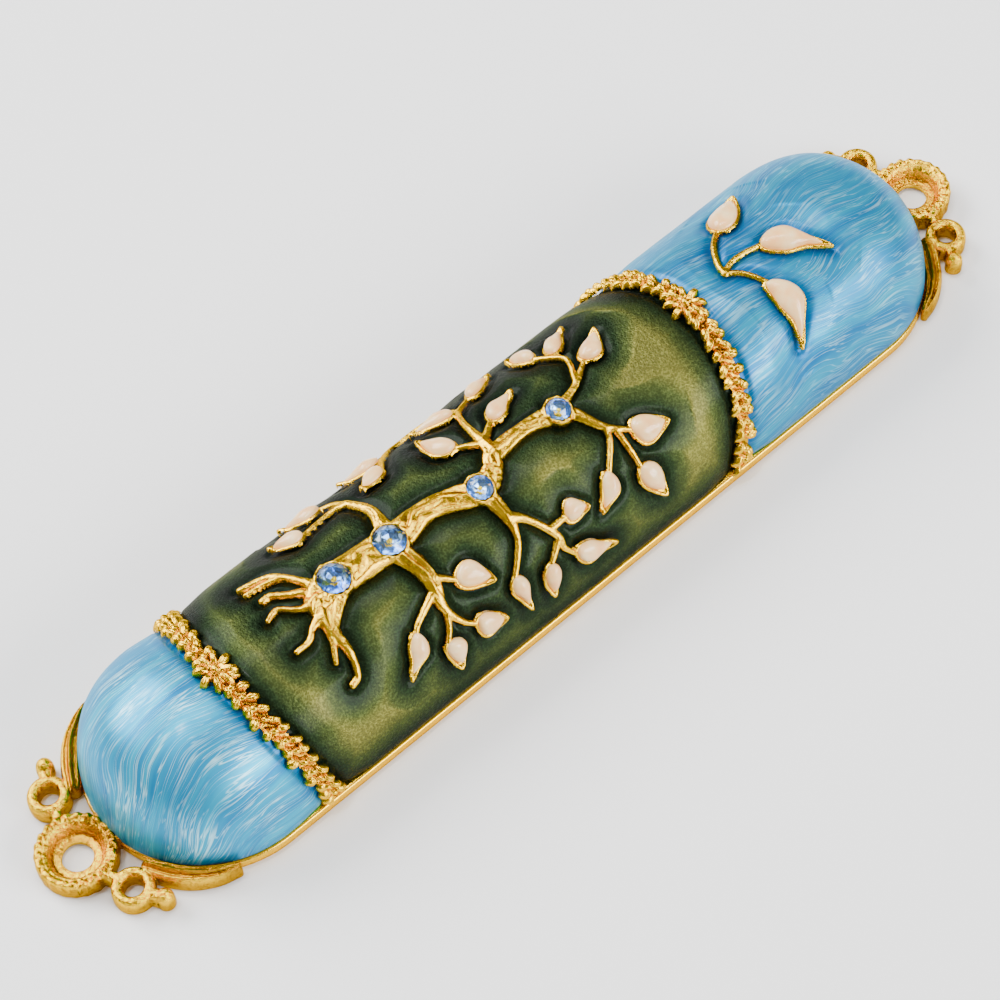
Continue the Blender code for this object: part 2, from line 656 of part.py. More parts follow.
def lathe(name, profile, centre, segments, mat):
    """Closed body of revolution about a vertical axis through centre; profile from axis to axis."""
    bm = bmesh.new()
    cx, cy = centre
    rings = []
    for radius, z in profile:
        if radius < 1e-6:
            rings.append([bm.verts.new((cx, cy, z))])
            continue
        rings.append([bm.verts.new((cx + radius * math.cos(2 * math.pi * k / segments),
                                    cy + radius * math.sin(2 * math.pi * k / segments), z))
                      for k in range(segments)])
    for low, high in zip(rings, rings[1:]):
        for k in range(segments):
            n = (k + 1) % segments
            if len(low) == 1:
                bm.faces.new([low[0], high[n], high[k]])
            elif len(high) == 1:
                bm.faces.new([low[k], low[n], high[0]])
            else:
                bm.faces.new([low[k], low[n], high[n], high[k]])
    return mesh_object(name, bm, mat)


def combine(target, tool, operation):
    """Apply one exact Boolean and remove the tool."""
    modifier = target.modifiers.new(tool.name, "BOOLEAN")
    modifier.operation = operation
    modifier.solver = "EXACT"
    modifier.object = tool
    bpy.context.view_layer.update()
    depsgraph = bpy.context.evaluated_depsgraph_get()
    result = bpy.data.meshes.new_from_object(target.evaluated_get(depsgraph))
    target.modifiers.clear()
    old = target.data
    target.data = result
    bpy.data.meshes.remove(old)
    bpy.data.objects.remove(tool, do_unlink=True)


def build_shell(mat):
    """The whole casting: dome, relief, flange, ears, hollow and cover pocket."""
    plate = base_plate(mat)
    for side in (-1, 1):
        centre = (side * EAR_X, 0.0)
        collar = ((0.0, FLANGE_THICKNESS / 2), (EAR_RING_RADIUS - 0.15, FLANGE_THICKNESS / 2),
                  (EAR_RING_RADIUS - 0.15, EAR_RING_HEIGHT - 0.3),
                  (EAR_RING_RADIUS - 0.5, EAR_RING_HEIGHT), (0.0, EAR_RING_HEIGHT))
        combine(plate, lathe("collar", collar, centre, 24, mat), "UNION")
        dish = ((0.0, -1.0), (SCREW_HOLE_RADIUS, -1.0), (SCREW_HOLE_RADIUS, DISH_FLOOR_Z),
                (DISH_RADIUS, EAR_RING_HEIGHT + 0.2), (DISH_RADIUS, EAR_RING_HEIGHT + 2),
                (0.0, EAR_RING_HEIGHT + 2))
        combine(plate, lathe("dish", dish, centre, 24, mat), "DIFFERENCE")
        for flank in (-1, 1):
            bead_centre = (side * BEAD[0], flank * BEAD[1])
            bead = [(BEAD_RADIUS * math.cos(a), 1.0 + BEAD_RADIUS * 0.85 * math.sin(a))
                    for a in (math.radians(d) for d in (-45, 0, 45))]
            bead = [(0.0, bead[0][1])] + bead + [(0.0, 1.0 + BEAD_RADIUS * 0.85)]
            combine(plate, lathe("bead", bead, bead_centre, 8, mat), "UNION")
    shell = dome_block(mat)
    combine(shell, plate, "UNION")
    cavity_radius = DOME_RADIUS - WALL
    cavity = half_dome("cavity", cavity_radius, DOME_STRAIGHT_HALF - 0.5, -1.0, DOME_AXIS_Z, mat)
    combine(shell, cavity, "DIFFERENCE")
    pocket = prism("pocket", stadium(POCKET_HALF_WIDTH, DOME_STRAIGHT_HALF - 0.5, 10), -1.0,
                   POCKET_DEPTH, mat)
    combine(shell, pocket, "DIFFERENCE")
    return shell


# ---------------------------------------------------------------- the other pieces

def build_cover(mat):
    """Flat cover with a nail notch in its root end."""
    half = POCKET_HALF_WIDTH - FIT_GAP
    straight = DOME_STRAIGHT_HALF - 0.5
    cover = prism("back_cover", stadium(half, straight, 10), 0.0, COVER_THICKNESS, mat)
    notch = prism("notch", circle(-straight - half, 0.0, NAIL_NOTCH_RADIUS, 12), -1.0, 2.0, mat)
    combine(cover, notch, "DIFFERENCE")
    return cover


def build_enamel_fields(materials):
    """Three enamel fields round the relief, each one sheet."""
    xs, ys, px, ps = working_grid(MAP_HALF_X, HALF_ARC + 0.3)
    limits = (("enamel_lower_blue", None, BORDERS[0], -MAP_HALF_X + 0.3, -30.0),
              ("enamel_green", BORDERS[0], BORDERS[1], -41.0, 26.0),
              ("enamel_upper_blue", BORDERS[1], None, 17.0, MAP_HALF_X - 0.3))
    for name, below, above, low_x, high_x in limits:
        def measure(cx, cs, below=below, above=above, low_x=low_x, high_x=high_x):
            """Negative on this field's enamel."""
            value = FIT_GAP - gold_distance(cx, cs)
            value = np.maximum(value, np.abs(cs) - HALF_ARC + FIT_GAP)
            value = np.maximum(value, np.maximum(low_x - cx, cx - high_x))
            if below is not None:
                value = np.maximum(value, border_centre(below, cs) - cx)
            if above is not None:
                value = np.maximum(value, cx - border_centre(above, cs))
            return value

        field = measure(px, ps)
        field[[0, -1], :] = 1.0
        field[:, [0, -1]] = 1.0
        loops = [simplify_loop(loop) for loop in contours(field, xs, ys) if abs(loop_area(loop)) > 0.3]
        extra = surface_points(lambda cx, cs: -measure(cx, cs), low_x, high_x, HALF_ARC)
        enamel_sheet(name, loops, extra, measure, ENAMEL_BOTTOM, lambda rim: ENAMEL_TOP,
                     materials[name])


def leaf_midline(outline):
    """Two points along the middle of a leaf, half way between its sides."""
    pairs = ((2, -2), (3, -3))
    return [((outline[a][0] + outline[b][0]) / 2, (outline[a][1] + outline[b][1]) / 2) for a, b in pairs]


def build_leaf_enamels(mat):
    for prefix, leaves in (("leaf_tree_%02d", TREE_LEAVES), ("leaf_sprig_%d", SPRIG_LEAVES)):
        for number, leaf in enumerate(leaves, 1):
            outline = leaf_outline(*leaf, FIT_GAP, LEAF_CORNERS)
            ridge = leaf_midline(outline)
            enamel_sheet(prefix % number, [outline], ridge,
                         lambda cx, cs, o=outline: polygon_distance(cx, cs, o), ENAMEL_BOTTOM,
                         lambda rim: RELIEF_EDGE if rim else RELIEF_EDGE + LEAF_CROWN, mat)


def build_crystals(mat):
    """Round brilliant stones standing in their seats, square to the dome."""
    for number, (x, s, radius) in enumerate(CRYSTALS, 1):
        profile = ((0.0, ENAMEL_BOTTOM), (radius * 0.95, CRYSTAL_GIRDLE - 0.12),
                   (radius, CRYSTAL_GIRDLE), (radius * 0.6, CRYSTAL_TABLE), (0.0, CRYSTAL_TABLE))
        stone = lathe("crystal_%d" % number, profile, (0.0, 0.0), 8, mat)
        stone.location = dome_point(x, s, 0.0)
        stone.rotation_euler = (-s / DOME_RADIUS, 0.0, 0.0)


def build_scroll(mat, band_mat):
    """Parchment rolled into a spiral, with a band round its middle."""
    bm = bmesh.new()
    steps = int(SCROLL_TURNS * 18)
    pitch = (SCROLL_RADIUS - SCROLL_SHEET - SCROLL_CORE_RADIUS) / SCROLL_TURNS
    ends = []
    for x in (-SCROLL_LENGTH / 2, SCROLL_LENGTH / 2):
        inner, outer = [], []
        for k in range(steps + 1):
            turn = SCROLL_TURNS * k / steps
            angle = 2 * math.pi * turn
            for radius, row in ((SCROLL_CORE_RADIUS + pitch * turn, inner),
                                (SCROLL_CORE_RADIUS + pitch * turn + SCROLL_SHEET, outer)):
                row.append(bm.verts.new((x, radius * math.cos(angle),
                                         SCROLL_AXIS_Z + radius * math.sin(angle))))
        for k in range(steps):
            bm.faces.new([inner[k], outer[k], outer[k + 1], inner[k + 1]])
        ends.append(inner + outer[::-1])
    for k in range(len(ends[0])):
        n = (k + 1) % len(ends[0])
        bm.faces.new([ends[0][k], ends[0][n], ends[1][n], ends[1][k]])
    mesh_object("parchment_scroll", bm, mat, math.radians(40))

    bm = bmesh.new()
    inner_radius = SCROLL_RADIUS + FIT_GAP
    rings = []
    for x in (-BAND_WIDTH / 2, BAND_WIDTH / 2):
        for radius in (inner_radius, inner_radius + BAND_THICKNESS):
            rings.append([bm.verts.new((x, radius * math.cos(2 * math.pi * k / 20),
                                        SCROLL_AXIS_Z + radius * math.sin(2 * math.pi * k / 20)))
                          for k in range(20)])
    for first, second in ((0, 1), (1, 3), (3, 2), (2, 0)):
        for k in range(20):
            n = (k + 1) % 20
            bm.faces.new([rings[first][k], rings[first][n], rings[second][n], rings[second][k]])
    mesh_object("scroll_band", bm, band_mat, math.radians(40))


def to_metres():
    """Bring every object from millimetres to metres."""
    for obj in bpy.data.objects:
        obj.data.transform(Matrix.Scale(MM, 4))
        obj.location *= MM


def main():
    clear_scene()
    gold = material("gold_plate", (0.83, 0.58, 0.18), 0.22, 1.0)
    fields = {
        "enamel_lower_blue": material("enamel_lower_blue", (0.09, 0.42, 0.62), 0.15),
        "enamel_green": material("enamel_green", (0.06, 0.11, 0.03), 0.2),
        "enamel_upper_blue": material("enamel_upper_blue", (0.06, 0.38, 0.58), 0.15),
    }
    build_shell(gold)
    build_enamel_fields(fields)
    build_leaf_enamels(material("leaf_enamel", (0.85, 0.68, 0.55), 0.25))
    build_crystals(material("crystal", (0.18, 0.42, 0.75), 0.05))
    build_cover(material("cover_metal", (0.78, 0.6, 0.28), 0.35, 1.0))
    build_scroll(material("parchment", (0.85, 0.76, 0.58), 0.8),
                 material("scroll_band", (0.8, 0.8, 0.78), 0.6))
    to_metres()


main()
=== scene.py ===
import json
import math

import bmesh
import bpy
import numpy as np
from mathutils import Matrix, Vector


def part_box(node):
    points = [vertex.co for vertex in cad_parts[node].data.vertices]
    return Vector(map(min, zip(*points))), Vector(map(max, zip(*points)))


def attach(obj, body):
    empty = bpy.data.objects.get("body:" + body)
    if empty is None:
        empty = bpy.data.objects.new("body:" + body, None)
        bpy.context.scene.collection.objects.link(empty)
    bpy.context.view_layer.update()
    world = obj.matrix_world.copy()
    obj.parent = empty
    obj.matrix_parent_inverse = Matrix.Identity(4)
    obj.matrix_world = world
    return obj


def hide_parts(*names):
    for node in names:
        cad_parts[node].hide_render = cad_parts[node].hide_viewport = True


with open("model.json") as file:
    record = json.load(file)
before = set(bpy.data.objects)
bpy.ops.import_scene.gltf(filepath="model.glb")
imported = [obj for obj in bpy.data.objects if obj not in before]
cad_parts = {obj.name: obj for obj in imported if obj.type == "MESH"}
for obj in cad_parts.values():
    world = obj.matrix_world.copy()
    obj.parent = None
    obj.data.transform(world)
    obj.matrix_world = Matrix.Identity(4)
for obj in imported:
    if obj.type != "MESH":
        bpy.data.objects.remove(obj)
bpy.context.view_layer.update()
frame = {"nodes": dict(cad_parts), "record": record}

# Looks of the mezuzah case. The front is laid out on its unrolled half cylinder: x along the case,
# s along the arc from the ridge, both in millimetres, as in the CAD model.

MM = 0.001
nodes = frame["nodes"]
mounts = {m["name"]: m for m in frame["record"]["mounts"]}

# ------------------------------------------------------------------ dimensions in millimetres

# The ears' place comes from the frame. The other sizes repeat the CAD model's, or come close to them.
EAR_X = mounts["upper_screw_hole"]["pos_m"][0] / MM
RADIUS = 12.0
AXIS_Z = 1.25
STRAIGHT = 42.3
HALF_ARC = RADIUS * math.pi / 2
HALF_MAP = STRAIGHT + HALF_ARC
FLANGE_W = 13.1
FLANGE_T = 1.3
POCKET_W = 11.4
CAVITY_R = 10.4
CAVITY_STRAIGHT = 41.8
ENAMEL = 0.66
CAP_FULLNESS = 0.05

# Borders: x on the ridge, and how far they bow towards the flange
BORDERS = ((-39.4, 3.3), (23.8, -4.2))
BORDER_W = 1.25

# Crystals: x, s, radius of the seat
CRYSTALS = ((-24.4, -0.2, 1.65), (-17.5, -0.6, 1.65), (-6.8, -2.0, 1.3), (5.2, -0.7, 1.25))

# Branches: points (x, s, radius)
TREE = (
    # trunk, from the roots up to the fork and the last crystal
    ((-27.3, -0.8, 1.3), (-24.4, -0.2, 1.9), (-17.5, -0.6, 1.8), (-12.1, -0.3, 1.25), (-6.8, -2.0, 1.5),
     (-4.1, -1.1, 1.1), (-2.9, 0.0, 1.1), (1.5, 0.2, 0.85), (5.2, -0.7, 1.3)),
    # roots
    ((-22.7, -0.9, 0.9), (-24.9, -1.6, 0.9), (-26.6, -2.7, 0.8), (-27.9, -4.0, 0.6)),
    ((-26.2, 0.6, 0.9), (-26.6, 1.8, 0.5), (-28.5, 5.0, 0.4), (-31.5, 6.2, 0.35)),
    ((-28.0, 4.0, 0.35), (-29.5, 4.6, 0.3), (-31.6, 5.0, 0.25)),
    ((-27.5, 1.0, 0.5), (-28.9, 1.9, 0.4), (-30.0, 2.9, 0.42), (-31.0, 3.0, 0.38)),
    ((-28.1, -0.7, 0.5), (-29.3, 0.0, 0.38), (-30.5, 1.1, 0.34), (-31.3, 1.1, 0.32), (-32.1, 0.8, 0.3)),
    ((-28.3, -2.2, 0.6), (-29.4, -2.6, 0.4), (-30.4, -3.3, 0.38), (-32.1, -3.4, 0.32)),
    ((-27.9, -2.9, 0.7), (-28.6, -4.6, 0.42), (-29.7, -6.4, 0.35)),
    ((-27.3, -0.8, 1.2), (-27.9, -3.7, 0.8), (-27.9, -6.3, 0.5), (-28.6, -8.6, 0.42), (-29.6, -9.1, 0.4)),
    # right side, low branch
    ((-17.6, -1.8, 1.3), (-16.9, -3.9, 1.15), (-16.9, -6.2, 0.95), (-17.4, -8.1, 0.65),
     (-17.2, -9.6, 0.5), (-16.4, -11.1, 0.4), (-15.3, -12.1, 0.35)),
    ((-17.4, -6.9, 0.5), (-20.4, -8.3, 0.36), (-21.3, -9.0, 0.35)),
    ((-17.4, -9.1, 0.45), (-18.0, -10.6, 0.36), (-18.9, -11.8, 0.35)),
    ((-16.3, -5.9, 0.5), (-14.7, -7.3, 0.35)),
    # right side, middle branch
    ((-6.6, -2.8, 1.1), (-6.4, -5.7, 0.75), (-6.7, -7.4, 0.45), (-7.4, -8.7, 0.4), (-9.3, -10.8, 0.35)),
    ((-6.4, -5.7, 0.75), (-4.8, -7.1, 0.5), (-3.1, -10.2, 0.48), (-3.1, -11.6, 0.4), (-2.2, -13.0, 0.35)),
    ((-3.4, -9.2, 0.5), (-1.3, -9.2, 0.35)),
    ((-3.2, -10.6, 0.42), (-5.3, -12.3, 0.35)),
    # right side, high branch
    ((5.3, -0.7, 1.2), (6.4, -1.9, 0.8), (7.8, -4.6, 0.5), (9.9, -6.4, 0.35)),
    ((7.8, -4.5, 0.45), (7.4, -6.0, 0.38), (5.4, -8.3, 0.35)),
    ((8.6, -5.6, 0.42), (8.6, -10.0, 0.35)),
    # left side, high branch
    ((6.0, -0.3, 0.8), (7.5, 0.1, 0.5), (9.2, 0.7, 0.45), (11.5, 2.1, 0.35)),
    ((9.0, 0.7, 0.4), (10.3, 3.0, 0.36), (10.3, 4.3, 0.35), (8.6, 6.7, 0.35)),
    # left limb of the fork
    ((-2.9, 0.1, 1.1), (-2.7, 1.6, 0.75), (-2.5, 3.7, 0.5), (-2.1, 5.8, 0.42), (-1.2, 7.7, 0.38),
     (1.0, 8.8, 0.35)),
    ((-2.7, 1.7, 0.6), (-0.3, 3.3, 0.4)),
    ((-2.9, 1.7, 0.5), (-5.1, 3.3, 0.35)),
    ((-1.3, 8.1, 0.38), (-2.6, 11.4, 0.36), (-7.6, 12.2, 0.35), (-10.2, 10.2, 0.35), (-11.6, 7.9, 0.35)),
    # left side, low branch
    ((-16.9, 0.6, 1.2), (-16.5, 2.1, 0.85), (-16.2, 3.9, 0.65), (-17.0, 6.8, 0.5)),
    ((-17.0, 6.6, 0.45), (-18.6, 7.4, 0.36), (-22.6, 7.0, 0.35)),
    ((-17.0, 6.8, 0.45), (-17.8, 8.6, 0.36), (-19.0, 9.8, 0.35)),
)
SPRIG = (
    ((29.6, 0.0, 0.45), (30.0, 1.4, 0.42), (31.4, 3.4, 0.4), (33.4, 5.0, 0.36)),
    ((29.9, 0.2, 0.4), (31.2, 0.6, 0.36), (32.7, 0.6, 0.35), (35.0, 0.1, 0.35)),
    ((29.6, 0.1, 0.42), (31.2, -1.3, 0.38), (32.4, -3.5, 0.36)),
)
# Leaves: base (x, s), tip (x, s), width, bend to the left
TREE_LEAVES = (
    ((-21.3, -9.0), (-24.3, -12.3), 2.0, 0.5), ((-18.8, -11.8), (-18.9, -14.9), 2.2, 0.4),
    ((-15.3, -12.1), (-12.2, -13.5), 2.4, -0.4), ((-14.7, -7.2), (-11.4, -9.5), 2.6, 0.4),
    ((-9.4, -10.8), (-9.3, -14.6), 1.8, 0.0), ((-5.2, -12.2), (-6.4, -15.2), 1.8, 0.0),
    ((-2.2, -12.9), (2.4, -14.7), 2.3, -0.4), ((-1.4, -9.2), (1.3, -9.6), 2.2, 0.3),
    ((5.1, -8.3), (2.3, -11.1), 2.0, 0.6), ((9.9, -6.4), (13.8, -7.9), 2.8, -0.4),
    ((8.6, -10.0), (9.7, -14.0), 2.5, 0.1), ((11.4, 2.1), (15.1, 4.2), 2.2, -0.4),
    ((9.9, 5.4), (13.5, 7.7), 1.9, 0.2), ((8.6, 6.7), (7.0, 9.6), 1.9, -0.3),
    ((0.9, 8.5), (4.6, 9.8), 1.9, 0.3), ((-0.4, 3.2), (3.7, 4.5), 2.0, 0.2),
    ((-1.7, 7.9), (-6.3, 9.8), 2.0, -0.4), ((-5.2, 3.2), (-7.1, 7.2), 2.3, 0.3),
    ((-11.6, 7.8), (-14.9, 6.7), 1.9, -0.2), ((-10.3, 10.4), (-15.0, 12.0), 2.0, 0.2),
    ((-22.6, 6.9), (-26.0, 8.4), 1.9, 0.0), ((-18.8, 9.6), (-23.2, 11.4), 2.0, 0.2),
)
SPRIG_LEAVES = (
    ((33.3, 4.7), (38.3, 7.4), 3.2, 0.1), ((34.8, 0.1), (40.6, -4.6), 2.9, 0.7),
    ((32.2, -3.4), (31.1, -10.7), 3.1, 1.3),
)

# Map areas (low x, high x, low s, high s) and grid steps of the reliefs
TREE_AREA = (-33.2, 17.2, -18.6, 15.8)
TREE_STEP = 0.115
SPRIG_AREA = (29.0, 42.2, -12.4, 10.6)
SPRIG_STEP = 0.1
BORDER_REACH = 2.4
BORDER_STEP = 0.09
ENAMEL_STEP = 0.19

FAR = 1e3
BARE = -1.0
GROUND = 0.2
CUT = 0.22


# ------------------------------------------------------------------ small tools

def lattice_noise(px, py, scale, seed):
    """Smooth value noise in -1..1, repeatable for a seed."""
    table = np.random.default_rng(seed).uniform(-1, 1, (256, 256))
    fx, fy = px / scale + 50.0, py / scale + 50.0
    ix, iy = np.floor(fx).astype(int), np.floor(fy).astype(int)
    tx, ty = fx - ix, fy - iy
    tx, ty = tx * tx * (3 - 2 * tx), ty * ty * (3 - 2 * ty)

    def at(i, j):
        return table[i % 256, j % 256]

    low = at(ix, iy) * (1 - tx) + at(ix + 1, iy) * tx
    high = at(ix, iy + 1) * (1 - tx) + at(ix + 1, iy + 1) * tx
    return low * (1 - ty) + high * ty


def smooth_max(a, b, k):
    """The larger of two heights, blended over about k."""
    return 0.5 * (a + b + np.sqrt((a - b) ** 2 + k * k))


def smoothstep(low, high, value):
    t = np.clip((value - low) / (high - low), 0, 1)
    return t * t * (3 - 2 * t)


def dome(px, ps, height):
    """Points of the dome in metres."""
    radius = RADIUS + height
    angle = ps / RADIUS
    dip = np.clip(np.abs(px) - STRAIGHT, 0, None) / RADIUS
    rise = (np.cos(dip) * np.cos(angle)) ** 2
    radius = radius * (1 + CAP_FULLNESS * 4 * rise * (1 - rise) * smoothstep(0.0, 0.7, dip))
    x = np.where(dip > 0, np.sign(px) * (STRAIGHT + radius * np.sin(dip)), px)
    radius = radius * np.cos(dip)
    return np.stack([x, radius * np.sin(angle), AXIS_Z + radius * np.cos(angle)], -1) * MM


def add_object(name, data):
    obj = bpy.data.objects.new(name, data)
    bpy.context.scene.collection.objects.link(obj)
    return obj


def mesh_from_arrays(name, points, quads, mat, attributes=None):
    """A smooth mesh object from numpy arrays; unused points are dropped."""
    used = np.unique(quads)
    renumber = np.full(len(points), -1)
    renumber[used] = np.arange(len(used))
    quads = renumber[quads]
    mesh = bpy.data.meshes.new(name)
    mesh.vertices.add(len(used))
    mesh.vertices.foreach_set("co", points[used].astype(np.float32).ravel())
    corners = quads.shape[1]
    mesh.loops.add(quads.size)
    mesh.loops.foreach_set("vertex_index", quads.ravel().astype(np.int32))
    mesh.polygons.add(len(quads))
    mesh.polygons.foreach_set("loop_start", np.arange(0, quads.size, corners, dtype=np.int32))
    mesh.update(calc_edges=True)
    for key, values in (attributes or {}).items():
        values = values[used].astype(np.float32)
        if values.ndim == 2:
            layer = mesh.attributes.new(key, "FLOAT_VECTOR", "POINT")
            layer.data.foreach_set("vector", values.ravel())
        else:
            layer = mesh.attributes.new(key, "FLOAT", "POINT")
            layer.data.foreach_set("value", values)
    mesh.materials.append(mat)
    mesh.shade_smooth()
    return add_object(name, mesh)


def grid_quads(rows, columns, keep):
    """Quads of a grid whose four corners are all kept."""
    index = np.arange(rows * columns).reshape(rows, columns)
    a, b, c, d = index[:-1, :-1], index[1:, :-1], index[1:, 1:], index[:-1, 1:]
    whole = keep[:-1, :-1] & keep[1:, :-1] & keep[1:, 1:] & keep[:-1, 1:]
    return np.stack([a[whole], b[whole], c[whole], d[whole]], -1)


def open_edges(quads, count):
    """Edges that only one quad has, among count points."""
    ends = np.stack([quads, np.roll(quads, -1, axis=1)], -1).reshape(-1, 2)
    key = np.sort(ends, axis=1)
    _, first, uses = np.unique(key[:, 0].astype(np.int64) * count + key[:, 1], return_index=True,
                               return_counts=True)
    return ends[first[uses == 1]]


def dome_grid(low_x, high_x, low_s, high_s, step):
    """Map coordinates of a regular grid."""
    xs = np.linspace(low_x, high_x, max(2, int(round((high_x - low_x) / step)) + 1))
    ss = np.linspace(low_s, high_s, max(2, int(round((high_s - low_s) / step)) + 1))
    return np.meshgrid(xs, ss, indexing="ij")


def flow_map(px, ps):
    """Pattern coordinates: the map itself on the straight part, spread from the top on the caps."""
    dip = np.clip(np.abs(px) - STRAIGHT, 0, None) / RADIUS
    angle = ps / RADIUS
    dx, dy, dz = np.sin(dip), np.cos(dip) * np.sin(angle), np.cos(dip) * np.cos(angle)
    away = RADIUS * np.arccos(np.clip(dz, -1, 1))
    turn = np.arctan2(dy, dx)
    on_cap = dip > 0
    fx = np.where(on_cap, np.sign(px) * (STRAIGHT + away * np.cos(turn)), px)
    fs = np.where(on_cap, away * np.sin(turn), ps)
    return np.stack([fx, fs, np.zeros_like(px)], -1).reshape(-1, 3)


def blur(field, reach):
    """Box average over a window of cells."""
    for axis in (0, 1):
        pad = [(0, 0), (0, 0)]
        pad[axis] = (reach + 1, reach)
        sums = np.cumsum(np.pad(field, pad, mode="edge"), axis=axis)
        size = 2 * reach + 1
        count = field.shape[axis]
        high = np.take(sums, range(size, size + count), axis=axis)
        field = (high - np.take(sums, range(count), axis=axis)) / size
    return field


def hollows(height, reach=5):
    """How far each point lies below its surroundings."""
    level = np.clip(height, 0.5, None)
    return np.clip(blur(level, reach) - level, 0, None)


def dome_piece(name, px, ps, height, keep, mat, extra=None):
    """A sheet at a height above the dome, where it is kept."""
    attributes = {"map": flow_map(px, ps)}
    for key, values in (extra or {}).items():
        attributes[key] = values.ravel()
    quads = grid_quads(*px.shape, keep)[:, ::-1]
    return mesh_from_arrays(name, dome(px, ps, height).reshape(-1, 3), quads, mat, attributes)


def relief_piece(name, px, ps, height, mat):
    """The part of a relief that stands above the ground."""
    # The hollow measure later paints shade into the gold's recesses
    extra = {"hollow": hollows(height)}
    return dome_piece(name, px, ps, np.maximum(height, GROUND), height > CUT, mat, extra)


# ------------------------------------------------------------------ layout on the map

def chain(px, ps, points):
    """Distance past the surface of a tapered chain, and for its nearest rod: radius, signed side
    offset and run along the chain."""
    best = np.full(px.shape, FAR)
    radius = np.ones(px.shape)
    side = np.zeros(px.shape)
    run = np.zeros(px.shape)
    start = 0.0
    for (ax, a_s, ar), (bx, b_s, br) in zip(points, points[1:]):
        dx, ds = bx - ax, b_s - a_s
        length = math.hypot(dx, ds)
        t = np.clip(((px - ax) * dx + (ps - a_s) * ds) / length ** 2, 0, 1)
        r = ar + t * (br - ar)
        off = np.hypot(px - ax - t * dx, ps - a_s - t * ds)
        gap = off - r
        closer = gap < best
        best = np.where(closer, gap, best)
        radius = np.where(closer, r, radius)
        side = np.where(closer, ((px - ax) * -ds + (ps - a_s) * dx) / length, side)
        run = np.where(closer, start + t * length, run)
        start += length
    return best, radius, side, run


def rounded(points, per_span=5, thinnest=0.25):
    """A chain with its corners rounded by a Catmull-Rom curve."""
    pts = np.array(points, float)
    padded = np.vstack([2 * pts[0] - pts[1], pts, 2 * pts[-1] - pts[-2]])
    result = []
    for k in range(1, len(padded) - 2):
        p0, p1, p2, p3 = padded[k - 1:k + 3]
        for t in np.linspace(0, 1, per_span, endpoint=False):
            result.append(0.5 * (2 * p1 + (p2 - p0) * t + (2 * p0 - 5 * p1 + 4 * p2 - p3) * t ** 2
                                 + (3 * p1 - p0 - 3 * p2 + p3) * t ** 3))
    result.append(pts[-1])
    return [(p[0], p[1], max(p[2], thinnest)) for p in result]


def leaf_axis(leaf):
    """Length of a leaf and its direction on the map."""
    (bx, bs), (tx, ts), _, _ = leaf
    length = math.hypot(tx - bx, ts - bs)
    return length, (tx - bx) / length, (ts - bs) / length


def leaf_slim(leaf):
    """1 for a long leaf, which thins out early into its tip, and 0 for a short one."""
    return float(np.clip((leaf_axis(leaf)[0] / leaf[2] - 1.8) / 0.45, 0, 1))


def leaf_profile(t, slim):
    """Half width of a leaf along its length, 1 at its widest."""
    body = np.clip(np.sin(math.pi * np.clip(t, 0, 1) ** 0.66), 0, 1) ** 0.85
    return body * (1 - 0.42 * slim * smoothstep(0.35, 0.72, t))


def leaf_bend(t, bend):
    """Sideways offset of a leaf's midline."""
    return bend * np.sin(math.pi * np.clip(t, 0, 1) ** 0.8)


def leaf_place(px, ps, leaf):
    """Fraction along a leaf, signed distance to the left of its midline, and its length."""
    (bx, bs), _, _, bend = leaf
    length, ux, us = leaf_axis(leaf)
    t = ((px - bx) * ux + (ps - bs) * us) / length
    return t, (ps - bs) * ux - (px - bx) * us - leaf_bend(t, bend), length


def leaf_gap(px, ps, leaf):
    """Distance outside a leaf's outline, negative inside, worked out near the leaf only."""
    margin = 3
    width = leaf[2]
    slim = leaf_slim(leaf)
    t_all, side, length = leaf_place(px, ps, leaf)
    best = np.full(px.shape, FAR)
    near = (np.abs(t_all - 0.5) * length < length / 2 + margin) & (np.abs(side) < width / 2 + margin)
    a, c = t_all[near] * length, np.abs(side[near])
    close = np.full(a.shape, FAR)
    stations = np.linspace(0, 1, 26)
    for t0, t1 in zip(stations, stations[1:]):
        ex, ey = t0 * length, width / 2 * leaf_profile(t0, slim)
        dx, dy = (t1 - t0) * length, width / 2 * leaf_profile(t1, slim) - ey
        q = np.clip(((a - ex) * dx + (c - ey) * dy) / (dx * dx + dy * dy), 0, 1)
        close = np.minimum(close, np.hypot(a - ex - q * dx, c - ey - q * dy))
    inside = (a > 0) & (a < length) & (c < width / 2 * leaf_profile(a / length, slim))
    best[near] = np.where(inside, -close, close)
    return best


def border_offset(px, ps, border):
    """Distance from a border's middle line, along x."""
    ridge, bow = border
    return px - (ridge + bow * (1 - np.cos(ps / RADIUS)))


def gold_gap(px, ps, branches, leaves, crystals):
    """Distance to the nearest gold, for the enamel around it."""
    cup_wall, seat_wall = 0.3, 0.5
    best = np.full(px.shape, FAR)
    for points in branches:
        best = np.minimum(best, chain(px, ps, rounded(points))[0])
    for leaf in leaves:
        best = np.minimum(best, leaf_gap(px, ps, leaf) - cup_wall)
    for x, s, radius in crystals:
        best = np.minimum(best, np.hypot(px - x, ps - s) - radius - seat_wall)
    return best


# ------------------------------------------------------------------ gold relief

